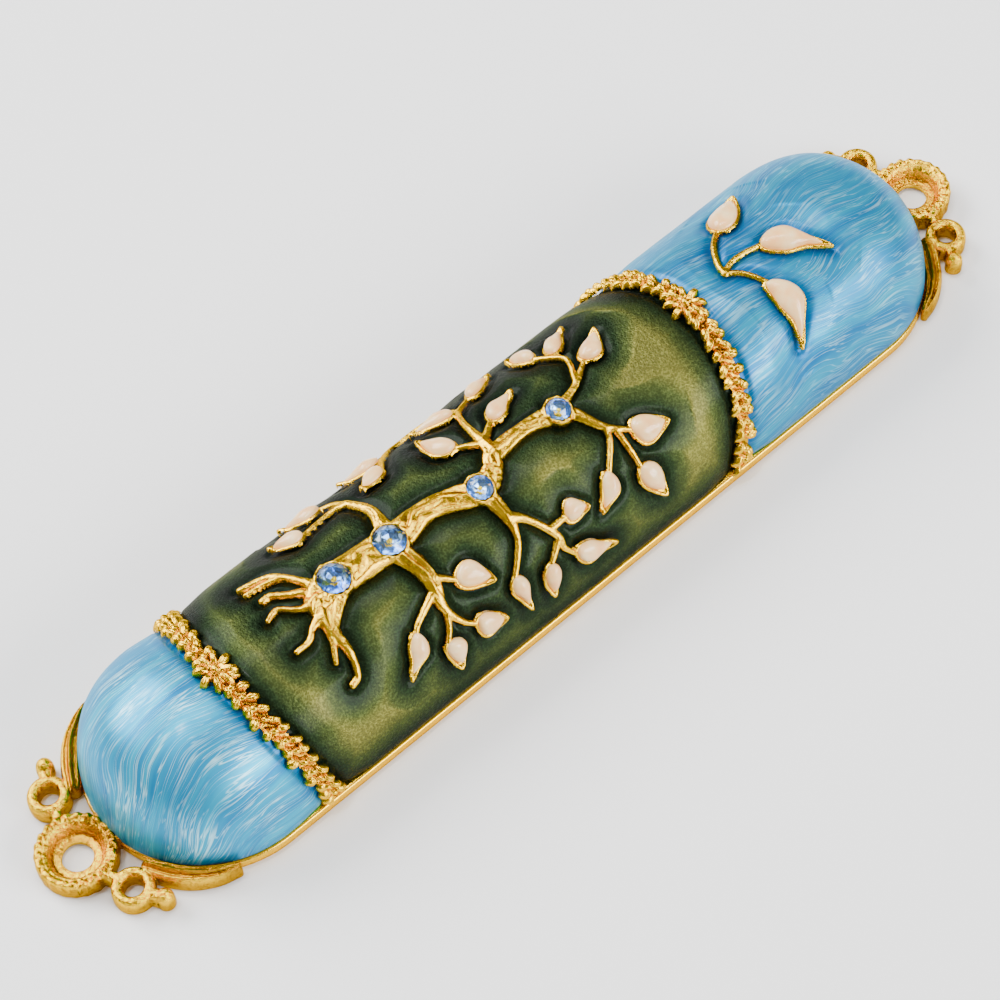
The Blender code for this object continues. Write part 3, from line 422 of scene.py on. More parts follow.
def branch_relief(px, ps, points):
    """Height of one branch: a rounded rod half sunk in the enamel, ridged and hammered where thick."""
    gap, radius, side, run = chain(px, ps, rounded(points))
    q = np.clip(1 - ((gap + radius) / radius) ** 2, -1.5, 1)
    body = 0.42 + (0.38 + 0.42 * radius) * np.sign(q) * np.sqrt(np.abs(q))
    thick = smoothstep(0.5, 1.4, radius)
    v = side / radius + 0.25 * np.sin(run * 0.7) + 0.3 * lattice_noise(px, ps, 1.7, 5)
    ridges = 0.17 * np.cos(v * 7.5) - 0.14 * np.exp(-((v - 0.3) / 0.12) ** 2)
    hammered = smoothstep(0.0, 0.5, lattice_noise(px + 7, ps, 2.6, 6))
    grain = 0.13 * lattice_noise(px, ps, 0.42, 8) * hammered + 0.05 * lattice_noise(px, ps, 0.8, 9)
    rough = thick * (ridges + grain) + 0.03 * lattice_noise(px, ps, 0.6, 10)
    return body + rough * np.clip(q, 0, 1) ** 0.5


def tree_relief(px, ps, branches, leaves, crystals):
    """Branches, the cups of the leaves and the pronged seats of the crystals."""
    blend = 0.12
    height = np.full(px.shape, BARE)
    for points in branches:
        height = smooth_max(height, branch_relief(px, ps, points), blend)
    for leaf in leaves:
        gap = leaf_gap(px, ps, leaf)
        claw = 0.45 * smoothstep(0.72, 1.0, leaf_place(px, ps, leaf)[0])
        wall = 0.3 + (0.65 + claw) * np.sqrt(np.clip(1 - ((gap - 0.02) / 0.28) ** 2, 0, 1))
        wall = np.where(gap < 0.05, np.maximum(wall, 0.75 + claw), wall)
        wall = np.where(gap > 0.3, BARE, wall)
        height = np.maximum(height, wall)
    for x, s, radius in crystals:
        rho = np.hypot(px - x, ps - s)
        angle = np.arctan2(ps - s, px - x)
        prong = 0.12 * np.clip(np.cos(8 * angle), 0, 1)
        collar = 1.42 + prong - ((rho - radius - 0.12) / 0.26) ** 2 * 0.5
        collar = np.where(rho > radius + 0.55, BARE, np.where(rho < radius - 0.05, 0.5, collar))
        height = np.where(rho < radius + 0.1, collar, np.maximum(height, collar))
    return height


def petal(px, py, cx, cy, direction, length, width, top):
    """An ellipsoid petal starting at (cx, cy)."""
    ux, uy = math.cos(direction), math.sin(direction)
    along = (px - cx) * ux + (py - cy) * uy - length / 2
    across = -(px - cx) * uy + (py - cy) * ux
    body = 1 - (along / (length / 2)) ** 2 - (across / (width / 2)) ** 2
    crease = 0.14 * np.exp(-(across / 0.1) ** 2)
    return np.where(body > 0, 0.35 + top * np.sqrt(np.clip(body, 0, 1)) - crease, BARE)


def border_relief(px, ps, border, seed):
    """Two rows of laurel leaves with beads between them, and a flower on the ridge."""
    pitch = 1.36
    heart_r = 0.45
    petals = 8
    leaf_reach = 2.8
    rng = np.random.default_rng(seed)
    u = border_offset(px, ps, border)
    height = np.where(np.abs(u) < 0.8, 0.6, BARE)
    count = int(HALF_ARC / pitch)
    for k in range(-count, count + 1):
        centre = k * pitch
        outward = 1 if centre > 0 else -1
        near = np.abs(ps - centre) < leaf_reach
        uu, ss = u[near], ps[near]
        local = height[near]
        for side in (-1, 1):
            lean = math.radians(rng.uniform(12, 62))
            shift = rng.uniform(-0.15, 0.15) + (0.3 if side > 0 else -0.25)
            direction = math.atan2(outward * math.sin(lean), side * math.cos(lean))
            leafy = petal(uu, ss, side * 0.12, centre + shift, direction, rng.uniform(1.5, 1.8),
                          rng.uniform(1.05, 1.25), rng.uniform(1.0, 1.2))
            local = np.maximum(local, leafy)
        bead_r = rng.uniform(0.3, 0.42)
        bead = bead_r ** 2 - (uu - rng.uniform(-0.15, 0.15)) ** 2 - (ss - centre - 0.4) ** 2
        local = np.maximum(local, np.where(bead > 0, 1.15 + np.sqrt(np.clip(bead, 0, 1)) * 1.1, BARE))
        height[near] = local
    for k in range(petals):
        direction = 2 * math.pi / petals * k + 0.2
        height = np.maximum(height, petal(u, ps, 0.3 * math.cos(direction), 0.3 * math.sin(direction),
                                          direction, 2.1, 1.0, 1.35))
    heart = heart_r ** 2 - u ** 2 - ps ** 2
    return np.maximum(height, np.where(heart > 0, 1.25 + np.sqrt(np.clip(heart, 0, 1)), BARE))


# ------------------------------------------------------------------ ears and flange

# Chains of points (x, distance from the middle line, radius), and beads in the same form
VOLUTE = ((48.4, 12.2, 0.4), (50.3, 11.3, 0.75), (52.2, 9.8, 1.0), (53.8, 7.8, 1.05), (54.8, 6.1, 0.85))
WEB = ((58.4, 3.6, 0.7), (57.6, 5.4, 0.7))
STUB = ((56.5, 8.3, 0.7), (55.8, 9.4, 0.8))
BEADS = ((55.6, 9.7, 0.95), (54.9, 1.7, 0.55), (54.9, 0.0, 0.5))
RING_R = 4.2
RING_TOP = 2.3
DISH_R = 3.3
DISH_FLOOR = 0.75
HOLE_R = 1.62
SIDE_RING = (57.3, 6.8)
SIDE_R = 2.25
SIDE_HOLE_R = 1.0
TEETH = 22
EAR_STEP = 0.085
EAR_TUCK = 0.08


def ear_plan(ax, ay):
    """Distance outside the ear's plan, and the height of its top."""
    rho = np.hypot(ax - EAR_X, ay)
    theta = np.arctan2(ay, ax - EAR_X)
    tooth = np.cos(TEETH * theta)
    uneven = 0.6 + 0.4 * lattice_noise(ax, ay, 1.6, 20)
    ring_edge = RING_R + 0.06 * tooth * uneven
    gap = rho - ring_edge
    dish = DISH_FLOOR + 1.35 * np.clip((rho - HOLE_R) / 1.6, 0, 1) ** 1.25
    crest = RING_TOP + 0.24 * tooth * uneven * smoothstep(3.2, 3.6, rho) - 0.5 * ((rho - 3.75) / 0.6) ** 2
    top = np.where(rho < DISH_R, np.minimum(dish, crest + 0.5), crest)
    top = np.where(gap < 0, top, BARE)
    grain = lattice_noise(ax, ay, 0.33, 21) * 0.07 + lattice_noise(ax, ay, 0.17, 22) * 0.03
    top = top + grain

    side = np.hypot(ax - SIDE_RING[0], ay - SIDE_RING[1])
    middle = (SIDE_R + SIDE_HOLE_R) / 2
    half = (SIDE_R - SIDE_HOLE_R) / 2
    torus = 1.35 + 0.75 * np.sqrt(np.clip(1 - ((side - middle) / half) ** 2, 0, 1))
    gap = np.minimum(gap, side - SIDE_R)
    top = np.maximum(top, np.where(side < SIDE_R, torus, BARE))

    for x, y, radius in BEADS:
        away = np.hypot(ax - x, ay - y)
        gap = np.minimum(gap, away - radius)
        ball = 1.2 + 1.3 * np.sqrt(np.clip(1 - (away / radius) ** 2, 0, 1)) * radius ** 0.5
        top = np.maximum(top, np.where(away < radius, ball, BARE))
    for points, base, rise, ribs in ((VOLUTE, 1.15, 1.1, 1.0), (WEB, 1.0, 0.9, 0.0), (STUB, 1.2, 0.8, 0.0)):
        past, radius, off, run = chain(ax, ay, rounded(points))
        q = np.clip(1 - ((past + radius) / radius) ** 2, 0, 1)
        rib = ribs * (0.3 * np.cos(off / radius * 8.0 + 0.4) + 0.06 * np.sin(run * 1.8))
        top = np.maximum(top, np.where(past < 0, base + rise * np.sqrt(q) + rib * q, BARE))
        gap = np.minimum(gap, past)
    gap = np.maximum(gap, HOLE_R - rho)
    gap = np.maximum(gap, SIDE_HOLE_R - side)
    edge = np.clip(-gap / 0.22, 0, 1)
    top = top - 0.3 * (1 - np.sqrt(1 - (1 - edge) ** 2))
    return gap, np.maximum(top, 0.5)


def ear_piece(name, direction, mat):
    """One filigree ear as a closed relief: top, walls and a back that is set in behind the flange."""
    step = EAR_STEP
    near_x, far_x, half_y = 45.5, 64.0, 14.2
    reach = step * 1.5
    wall_levels = (0.72, 0.35)
    xs = np.arange(near_x, far_x, step)
    ys = np.arange(-half_y, half_y + step, step)
    ax, py = np.meshgrid(xs, ys, indexing="ij")
    gap, top = ear_plan(ax, np.abs(py))
    gx = np.gradient(gap, step, axis=0)
    gy = np.gradient(gap, step, axis=1)
    norm = np.maximum(np.hypot(gx, gy), 0.3)
    outside = (gap > 0) & (gap < reach)
    ax = np.where(outside, ax - gap * gx / norm ** 2, ax)
    py = np.where(outside, py - gap * gy / norm ** 2, py)
    inner_top = ear_plan(ax, np.abs(py))[1]
    top = np.where(outside, inner_top, top)
    quads = grid_quads(*ax.shape, gap < reach)
    inside_count = (gap.ravel()[quads] < 0).sum(1)
    quads = quads[inside_count > 0]
    flat = ax.size
    hollow = hollows(np.where(gap < 0, top, 1.2))
    from_dome = np.hypot(np.clip(ax - STRAIGHT, 0, None), py) - FLANGE_W
    # Painted shadow: the ear is darkened next to the flange and dome, added to its hollow measure
    shadow = 0.3 * np.clip((1.5 - from_dome) / 0.5, 0, 1)
    hollow = np.maximum(hollow, shadow).ravel()
    points = np.stack([direction * ax, py, top], -1).reshape(-1, 3)
    under = np.where(from_dome < 0, EAR_TUCK, 0.0)
    back = np.stack([direction * ax, py, under], -1).reshape(-1, 3)
    rim = open_edges(quads, flat)
    blocks = [points]
    for level in wall_levels:
        ring = back.copy()
        ring[:, 2] = points[:, 2] * level
        blocks.append(ring)
    blocks.append(back)
    walls = [np.stack([rim[:, 1] + k * flat, rim[:, 0] + k * flat,
                       rim[:, 0] + (k + 1) * flat, rim[:, 1] + (k + 1) * flat], -1)
             for k in range(len(blocks) - 1)]
    everything = np.vstack([quads] + walls + [quads[:, ::-1] + (len(blocks) - 1) * flat])
    if direction < 0:
        everything = everything[:, ::-1]
    return mesh_from_arrays(name, np.vstack(blocks) * MM, everything, mat,
                            {"hollow": np.concatenate([hollow] * len(blocks))})


def stadium_ring(half_width, straight, z, turn=44, run=56):
    """Points round a strip with round ends."""
    points = []
    for side in (1, -1):
        for k in range(turn):
            angle = side * math.pi / 2 - math.pi * k / turn
            points.append((side * straight + half_width * math.cos(angle),
                           half_width * math.sin(angle), z))
        for k in range(run):
            x = side * straight * (1 - 2 * k / run)
            points.append((x, -side * half_width, z))
    return points


def flange_piece(mat):
    """Rim flange, cover pocket and the hollow behind the dome."""
    dome_rings = 18
    rings = [(11.2, STRAIGHT, FLANGE_T), (12.7, STRAIGHT, FLANGE_T + 0.02),
             (12.95, STRAIGHT, FLANGE_T - 0.03), (FLANGE_W - 0.03, STRAIGHT, FLANGE_T - 0.14),
             (FLANGE_W, STRAIGHT, FLANGE_T - 0.3),
             (FLANGE_W, STRAIGHT, 0.6), (FLANGE_W, STRAIGHT, 0.12), (FLANGE_W - 0.12, STRAIGHT, 0.0),
             (POCKET_W + 0.12, CAVITY_STRAIGHT, 0.0), (POCKET_W, CAVITY_STRAIGHT, 0.12),
             (POCKET_W, CAVITY_STRAIGHT, 0.95), (POCKET_W - 0.05, CAVITY_STRAIGHT, 1.0),
             (CAVITY_R + 0.1, CAVITY_STRAIGHT, 1.0), (CAVITY_R, CAVITY_STRAIGHT, 1.1)]
    for k in range(dome_rings + 1):
        angle = math.pi / 2 * k / dome_rings
        rings.append((max(CAVITY_R * math.cos(angle), 0.001), CAVITY_STRAIGHT,
                      AXIS_Z + CAVITY_R * math.sin(angle)))
    loops = [stadium_ring(*ring) for ring in rings]
    count = len(loops[0])
    points = np.array([p for loop in loops for p in loop])
    quads = []
    for k in range(len(loops) - 1):
        for j in range(count):
            n = (j + 1) % count
            quads.append((k * count + j, k * count + n, (k + 1) * count + n, (k + 1) * count + j))
    return mesh_from_arrays("case_flange", points * MM, np.array(quads), mat)


# ------------------------------------------------------------------ materials

# Painted shade colour for the gold's recesses
RECESS_SHADE_GOLD = (0.38, 0.19, 0.008, 1)
PIT_GOLD = (0.52, 0.40, 0.26)
GLANCING_GOLD = (1.0, 0.74, 0.22, 1)
GLANCING_BLUE = (0.15, 0.75, 1.0, 1)
GLANCING_GREEN = (0.30, 0.34, 0.10, 1)
FILAMENT = (0.48, 0.84, 0.92, 1)
WARP = 9.0


def new_material(name):
    mat = bpy.data.materials.new(name)
    mat.use_nodes = True
    tree = mat.node_tree
    return mat, tree, tree.nodes["Principled BSDF"]


def set_values(item, values):
    """Set each value by its name: an input where the node has one, else a property."""
    for key, value in values.items():
        if key in item.inputs:
            item.inputs[key].default_value = value
        else:
            setattr(item, key, value)
    return item


def node(tree, kind, **values):
    return set_values(tree.nodes.new(kind), values)


def feed(tree, value, socket):
    """Link another node's output to an input, or set the input's own value."""
    if isinstance(value, bpy.types.NodeSocket):
        tree.links.new(value, socket)
    else:
        socket.default_value = value


def texture(tree, kind, place, output, **values):
    """An output of a texture at the given coordinates."""
    item = node(tree, "ShaderNodeTex" + kind, **values)
    feed(tree, place, item.inputs["Vector"])
    return item.outputs[output]


def noise(tree, place, **values):
    return texture(tree, "Noise", place, "Fac", **values)


def attribute(tree, name, output):
    return node(tree, "ShaderNodeAttribute", attribute_name=name).outputs[output]


def ramp(tree, stops, value):
    """The colour of a ramp at a value."""
    item = tree.nodes.new("ShaderNodeValToRGB")
    elements = item.color_ramp.elements
    while len(elements) < len(stops):
        elements.new(0.5)
    for element, (position, colour) in zip(elements, stops):
        element.position = position
        element.color = (*colour, 1.0)
    feed(tree, value, item.inputs["Fac"])
    return item.outputs["Color"]


def grey(value):
    return (value, value, value)


def map_range(tree, value, source, target):
    """A value carried over from one range to another."""
    item = node(tree, "ShaderNodeMapRange", **{"From Min": source[0], "From Max": source[1],
                                               "To Min": target[0], "To Max": target[1]})
    feed(tree, value, item.inputs["Value"])
    return item.outputs["Result"]


def mixed(tree, factor, a, b, blend_type="MIX"):
    """Two colours mixed."""
    item = node(tree, "ShaderNodeMix", data_type="RGBA", blend_type=blend_type)
    for name, value in (("Factor", factor), ("A", a), ("B", b)):
        feed(tree, value, item.inputs[name])
    return item.outputs["Result"]


def math_node(tree, operation, *values, clamp=False):
    item = node(tree, "ShaderNodeMath", operation=operation, use_clamp=clamp)
    for socket, value in zip(item.inputs, values):
        feed(tree, value, socket)
    return item.outputs[0]


def add_bump(tree, shader, height, strength, distance):
    bump = node(tree, "ShaderNodeBump", Strength=strength, Distance=distance)
    feed(tree, height, bump.inputs["Height"])
    feed(tree, bump.outputs["Normal"], shader.inputs["Normal"])


def object_mm(tree):
    """Object coordinates in millimetres."""
    coords = tree.nodes.new("ShaderNodeTexCoord")
    scale = node(tree, "ShaderNodeVectorMath", operation="SCALE", Scale=1 / MM)
    feed(tree, coords.outputs["Object"], scale.inputs[0])
    return scale.outputs[0]


def gold_material(name, roughness, grain, colour):
    """Plated gold with painted shade darkening its recesses to brown, and fine pits."""
    mat, tree, shader = new_material(name)
    where = object_mm(tree)
    tone = noise(tree, where, Scale=0.45, Detail=4.0)
    shades = ramp(tree, ((0.3, tuple(c * 0.85 for c in colour)), (0.7, colour)), tone)
    # Painted shade: the gold turns brown where it lies below its surroundings
    depth = map_range(tree, attribute(tree, "hollow", "Fac"), (0.02, 0.3), (0.0, 0.88))
    recess_shaded = mixed(tree, depth, shades, RECESS_SHADE_GOLD)
    rough = noise(tree, where, Scale=2.2, Detail=6.0)
    rough = ramp(tree, ((0.3, grey(roughness * 0.6)), (0.75, grey(roughness * 1.6))), rough)
    feed(tree, rough, shader.inputs["Roughness"])
    fine = noise(tree, where, Scale=2.6, Detail=4.0, Roughness=0.6)
    add_bump(tree, shader, fine, grain, 0.00022)
    pits = ramp(tree, ((0.36, PIT_GOLD), (0.5, grey(1.0))), fine)
    feed(tree, mixed(tree, grain, recess_shaded, pits, "MULTIPLY"), shader.inputs["Base Color"])
    set_values(shader, {"Metallic": 1.0, "Specular Tint": GLANCING_GOLD})
    return mat


def blue_material(name, deep, mid, pale, edge_shade_colour, turn, filaments):
    """Pearl enamel with fine white filaments drawn out along the case, darkened with painted shade
    next to the gold and the rim.
    """
    mat, tree, shader = new_material(name)
    place = attribute(tree, "map", "Vector")
    warped = node(tree, "ShaderNodeVectorMath", operation="MULTIPLY_ADD")
    feed(tree, texture(tree, "Noise", place, "Color", Scale=0.07, Detail=1.5), warped.inputs[0])
    feed(tree, (WARP, WARP, 0.0), warped.inputs[1])
    feed(tree, place, warped.inputs[2])

    def drawn(stretch, angle, scale, detail, distortion):
        """Noise drawn out in the direction of an angle."""
        mapping = node(tree, "ShaderNodeMapping", vector_type="TEXTURE", Rotation=(0, 0, angle),
                       Scale=(stretch, 1, 1))
        feed(tree, warped.outputs[0], mapping.inputs["Vector"])
        return noise(tree, mapping.outputs["Vector"], Scale=scale, Detail=detail, Roughness=0.55,
                     Distortion=distortion)

    def line(source, width):
        """1 where a noise crosses its middle value, falling to 0 within a width."""
        away = math_node(tree, "ABSOLUTE", math_node(tree, "SUBTRACT", source, 0.5))
        return math_node(tree, "SUBTRACT", 1.0, math_node(tree, "MULTIPLY", away, 1.0 / width), clamp=True)

    broad = drawn(9.0, turn, 0.6, 4.0, 0.1)
    base = ramp(tree, ((0.28, deep), (0.5, mid), (0.72, pale)), broad)
    lines = math_node(tree, "MAXIMUM", line(drawn(20.0, turn, 1.3, 1.5, 0.0), 0.02),
                      line(drawn(17.0, turn - 0.08, 2.1, 1.5, 0.1), 0.022))
    patches = ramp(tree, ((0.35, grey(0.2 * filaments)), (0.65, grey(filaments))),
                   noise(tree, place, Scale=0.22, Detail=2.0))
    drawn_over = mixed(tree, math_node(tree, "MULTIPLY", lines, patches), base, FILAMENT)
    # Painted shade: darker towards the gold borders, the sprig and the flange rim
    shade = map_range(tree, attribute(tree, "edge", "Fac"), (0.0, 1.6), (0.8, 0.0))
    feed(tree, mixed(tree, shade, drawn_over, (*edge_shade_colour, 1)), shader.inputs["Base Color"])
    add_bump(tree, shader, broad, 0.25, 0.00005)
    set_values(shader, {"Metallic": 0.45, "Roughness": 0.4, "Specular IOR Level": 0.25,
                        "Specular Tint": GLANCING_BLUE, "Coat Weight": 0.1, "Coat Roughness": 0.12})
    return mat


def green_material():
    """Dark translucent enamel over gold glitter, clearer in the middle of each field, with painted shade
    darkening it to the left of the ridge."""
    mat, tree, shader = new_material("enamel_green_look")
    where = object_mm(tree)
    sides = tree.nodes.new("ShaderNodeSeparateXYZ")
    feed(tree, attribute(tree, "map", "Vector"), sides.inputs[0])
    # Painted shade: the enamel darkens towards the left of the ridge, growing with s
    left_side_shade = map_range(tree, sides.outputs["Y"], (0.0, 12.0), (0.0, 1.7))
    clarity_and_shade = math_node(tree, "SUBTRACT", attribute(tree, "edge", "Fac"), left_side_shade)
    clouding_and_shade = math_node(tree, "MULTIPLY_ADD", noise(tree, where, Scale=0.35, Detail=3.0), 1.4, clarity_and_shade)
    tones = ramp(tree, ((0.12, (0.002, 0.006, 0.004)), (0.36, (0.010, 0.020, 0.008)),
                        (0.64, (0.042, 0.056, 0.015)), (0.92, (0.12, 0.118, 0.026))),
                 math_node(tree, "MULTIPLY", clouding_and_shade, 0.2))
    flecks = ramp(tree, ((0.0, grey(0.7)), (0.5, grey(1.0)), (0.72, grey(2.2))),
                  texture(tree, "Voronoi", where, "Distance", Scale=4.6))
    feed(tree, mixed(tree, 0.5, tones, flecks, "MULTIPLY"), shader.inputs["Base Color"])
    grain = noise(tree, where, Scale=2.8, Detail=3.0, Roughness=0.7)
    add_bump(tree, shader, grain, 0.75, 0.0002)
    set_values(shader, {"Metallic": 0.8, "Roughness": 0.38, "Specular Tint": GLANCING_GREEN,
                        "Coat Weight": 0.07, "Coat Roughness": 0.2})
    return mat


def leaf_material():
    mat, tree, shader = new_material("leaf_enamel_look")
    tone = noise(tree, object_mm(tree), Scale=0.5, Detail=3.0)
    shades = ramp(tree, ((0.3, (0.94, 0.46, 0.16)), (0.5, (1.0, 0.60, 0.25)), (0.72, (1.0, 0.72, 0.38))),
                  tone)
    feed(tree, shades, shader.inputs["Base Color"])
    add_bump(tree, shader, tone, 0.2, 0.00005)
    set_values(shader, {"Roughness": 0.3, "Coat Weight": 0.4, "Coat Roughness": 0.08,
                        "Subsurface Weight": 0.15, "Subsurface Scale": 0.0005})
    return mat


def tinted_material(name, scale, low, high, values):
    """A material whose colour drifts between two tints."""
    mat, tree, shader = new_material(name)
    tint = ramp(tree, ((0.3, low), (0.7, high)), noise(tree, object_mm(tree), Scale=scale))
    feed(tree, tint, shader.inputs["Base Color"])
    set_values(shader, values)
    return mat


def crystal_materials():
    """The clear crown and the foiled pavilion of a stone."""
    glass = tinted_material("crystal_glass_look", 0.8, (0.50, 0.74, 1.0), (0.75, 0.90, 1.0),
                            {"Transmission Weight": 1.0, "IOR": 1.6, "Roughness": 0.01})
    foil = tinted_material("crystal_foil_look", 0.9, (0.16, 0.40, 0.95), (0.60, 0.80, 1.0),
                           {"Metallic": 1.0, "Roughness": 0.16})
    return glass, foil


def sheet_metal_material():
    """Gold sheet brushed along the case."""
    mat, tree, shader = new_material("cover_metal_look")
    stretch = node(tree, "ShaderNodeMapping", Scale=(0.02, 6.0, 1.0))
    feed(tree, object_mm(tree), stretch.inputs["Vector"])
    brush = noise(tree, stretch.outputs["Vector"], Scale=2.0, Detail=6.0)
    shades = ramp(tree, ((0.3, (0.90, 0.60, 0.12)), (0.7, (0.97, 0.67, 0.17))), brush)
    feed(tree, shades, shader.inputs["Base Color"])
    feed(tree, ramp(tree, ((0.3, grey(0.24)), (0.7, grey(0.34))), brush), shader.inputs["Roughness"])
    add_bump(tree, shader, brush, 0.25, 0.00003)
    set_values(shader, {"Metallic": 1.0})
    return mat


def parchment_material():
    mat, tree, shader = new_material("parchment_look")
    where = object_mm(tree)
    mottle = noise(tree, where, Scale=0.35, Detail=6.0, Roughness=0.65)
    shades = ramp(tree, ((0.3, (0.66, 0.52, 0.33)), (0.5, (0.80, 0.69, 0.49)), (0.72, (0.88, 0.80, 0.62))),
                  mottle)
    feed(tree, shades, shader.inputs["Base Color"])
    add_bump(tree, shader, noise(tree, where, Scale=5.0, Detail=5.0), 0.5, 0.00008)
    set_values(shader, {"Roughness": 0.75})
    return mat


def ribbon_material():
    mat, tree, shader = new_material("scroll_band_look")
    weave = texture(tree, "Wave", object_mm(tree), "Fac", Scale=1.6, Distortion=0.4, bands_direction="X")
    shades = ramp(tree, ((0.2, (0.62, 0.60, 0.55)), (0.8, (0.86, 0.85, 0.80))), weave)
    feed(tree, shades, shader.inputs["Base Color"])
    add_bump(tree, shader, weave, 0.6, 0.00008)
    set_values(shader, {"Roughness": 0.7, "Sheen Weight": 0.3})
    return mat


# ------------------------------------------------------------------ building the pieces

def on_case(obj, *stands_for):
    """Put a piece on the case body, in place of CAD nodes."""
    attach(obj, "case")
    if stands_for:
        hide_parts(*stands_for)
    return obj


def build_gold(gold, rough_gold, rim_gold):
    """Tree, sprig, borders, flange and ears of the casting."""
    px, ps = dome_grid(*TREE_AREA, TREE_STEP)
    tree = relief_piece("tree_of_life", px, ps, tree_relief(px, ps, TREE, TREE_LEAVES, CRYSTALS), gold)
    on_case(tree, "case_shell")
    px, ps = dome_grid(*SPRIG_AREA, SPRIG_STEP)
    sprig = relief_piece("sprig", px, ps, tree_relief(px, ps, SPRIG, SPRIG_LEAVES, ()), gold)
    on_case(sprig, "case_shell")
    borders = (("laurel_border_lower", BORDERS[0], 3), ("laurel_border_upper", BORDERS[1], 4))
    for name, border, seed in borders:
        ridge, bow = border
        low, high = sorted((ridge, ridge + bow))
        px, ps = dome_grid(low - BORDER_REACH, high + BORDER_REACH, -HALF_ARC, HALF_ARC, BORDER_STEP)
        piece = relief_piece(name, px, ps, border_relief(px, ps, border, seed), gold)
        on_case(piece, "case_shell")
    on_case(flange_piece(rim_gold), "case_shell")
    for name, direction in (("ear_lower", -1), ("ear_upper", 1)):
        on_case(ear_piece(name, direction, rough_gold), "case_shell")


def build_enamel():
    """The three enamel fields, sunk a little next to the gold and rounded off at the flange."""
    green = green_material()
    # The fourth colour of each is its painted shade next to the gold and rim
    lower = blue_material("enamel_lower_blue_look", (0.0, 0.14, 0.36), (0.0, 0.26, 0.47),
                          (0.0, 0.41, 0.60), (0.0, 0.06, 0.25), 0.2, 0.8)
    upper = blue_material("enamel_upper_blue_look", (0.0, 0.105, 0.29), (0.0, 0.19, 0.37),
                          (0.0, 0.29, 0.44), (0.0, 0.05, 0.22), 0.07, 0.42)
    fields = (("enamel_lower_blue", -HALF_MAP, -34.5, lower, None, BORDERS[0]),
              ("enamel_green", -41.5, 25.5, green, BORDERS[0], BORDERS[1]),
              ("enamel_upper_blue", 18.5, HALF_MAP, upper, BORDERS[1], None))
    for name, low_x, high_x, mat, below, above in fields:
        px, ps = dome_grid(low_x, high_x, -HALF_ARC, HALF_ARC, ENAMEL_STEP)
        gap = np.full(px.shape, FAR)
        if name == "enamel_green":
            gap = gold_gap(px, ps, TREE, TREE_LEAVES, CRYSTALS)
        if name == "enamel_upper_blue":
            gap = gold_gap(px, ps, SPRIG, SPRIG_LEAVES, ())
        keep = np.ones(px.shape, bool)
        for border, side in ((below, 1), (above, -1)):
            if border is None:
                continue
            off = border_offset(px, ps, border) * side
            keep &= off > -0.6
            gap = np.minimum(gap, off - BORDER_W)
        rim = HALF_ARC - np.abs(ps)
        edge = np.clip(np.minimum(gap, rim * 0.8), 0, 6)
        height = ENAMEL - 0.3 * np.exp(-(np.clip(gap, 0, 9) / 0.5) ** 2)
        height += 0.3 * smoothstep(0.2, 4.2, np.clip(gap, 0, 9))
        qx, qs = px * 0.8 + ps * 0.6, ps * 0.8 - px * 0.6
        height += 0.02 * lattice_noise(qx, qs, 5.0, 31) + 0.004 * lattice_noise(qx, qs, 1.3, 32)
        t = np.clip(1 - rim / 0.8, 0, 1)
        height -= 0.42 * (1 - np.sqrt(1 - t ** 2))
        piece = dome_piece(name + "_surface", px, ps, height, keep, mat, {"edge": edge})
        on_case(piece, name)


def build_leaves(mat):
    """Domed enamel in each leaf cup, a little higher towards the tip."""
    rows, columns = 36, 21
    end_t = 0.93
    groups = (("leaf_tree_%02d", TREE_LEAVES), ("leaf_sprig_%d", SPRIG_LEAVES))
    for pattern, leaves in groups:
        for number, leaf in enumerate(leaves, 1):
            (bx, bs), _, width, bend = leaf
            length, ux, us = leaf_axis(leaf)
            t, v = np.meshgrid(np.linspace(0.0, end_t, rows), np.linspace(-1, 1, columns), indexing="ij")
            taper = leaf_profile(t, leaf_slim(leaf)) * np.sqrt(np.clip(1 - (t / end_t) ** 6, 0, 1))
            across = (width / 2 + 0.06) * taper * v + leaf_bend(t, bend)
            px = bx + t * length * ux - across * us + 0.1
            ps = bs + t * length * us + across * ux + 0.12
            pillow = np.sqrt(np.clip(1 - v ** 2, 0, 1)) * np.clip(taper, 0, 1) ** 0.5
            height = 0.6 + 1.1 * pillow + 0.25 * smoothstep(0.5, end_t, t) * pillow
            height += 0.05 * lattice_noise(px, ps, 0.9, 40 + number) * pillow
            piece = dome_piece((pattern % number) + "_enamel", px, ps, height, np.ones(px.shape, bool), mat)
            on_case(piece, pattern % number)


STONE_SIDES = 8
GIRDLE_Z = 1.32
CULET_Z = 0.35


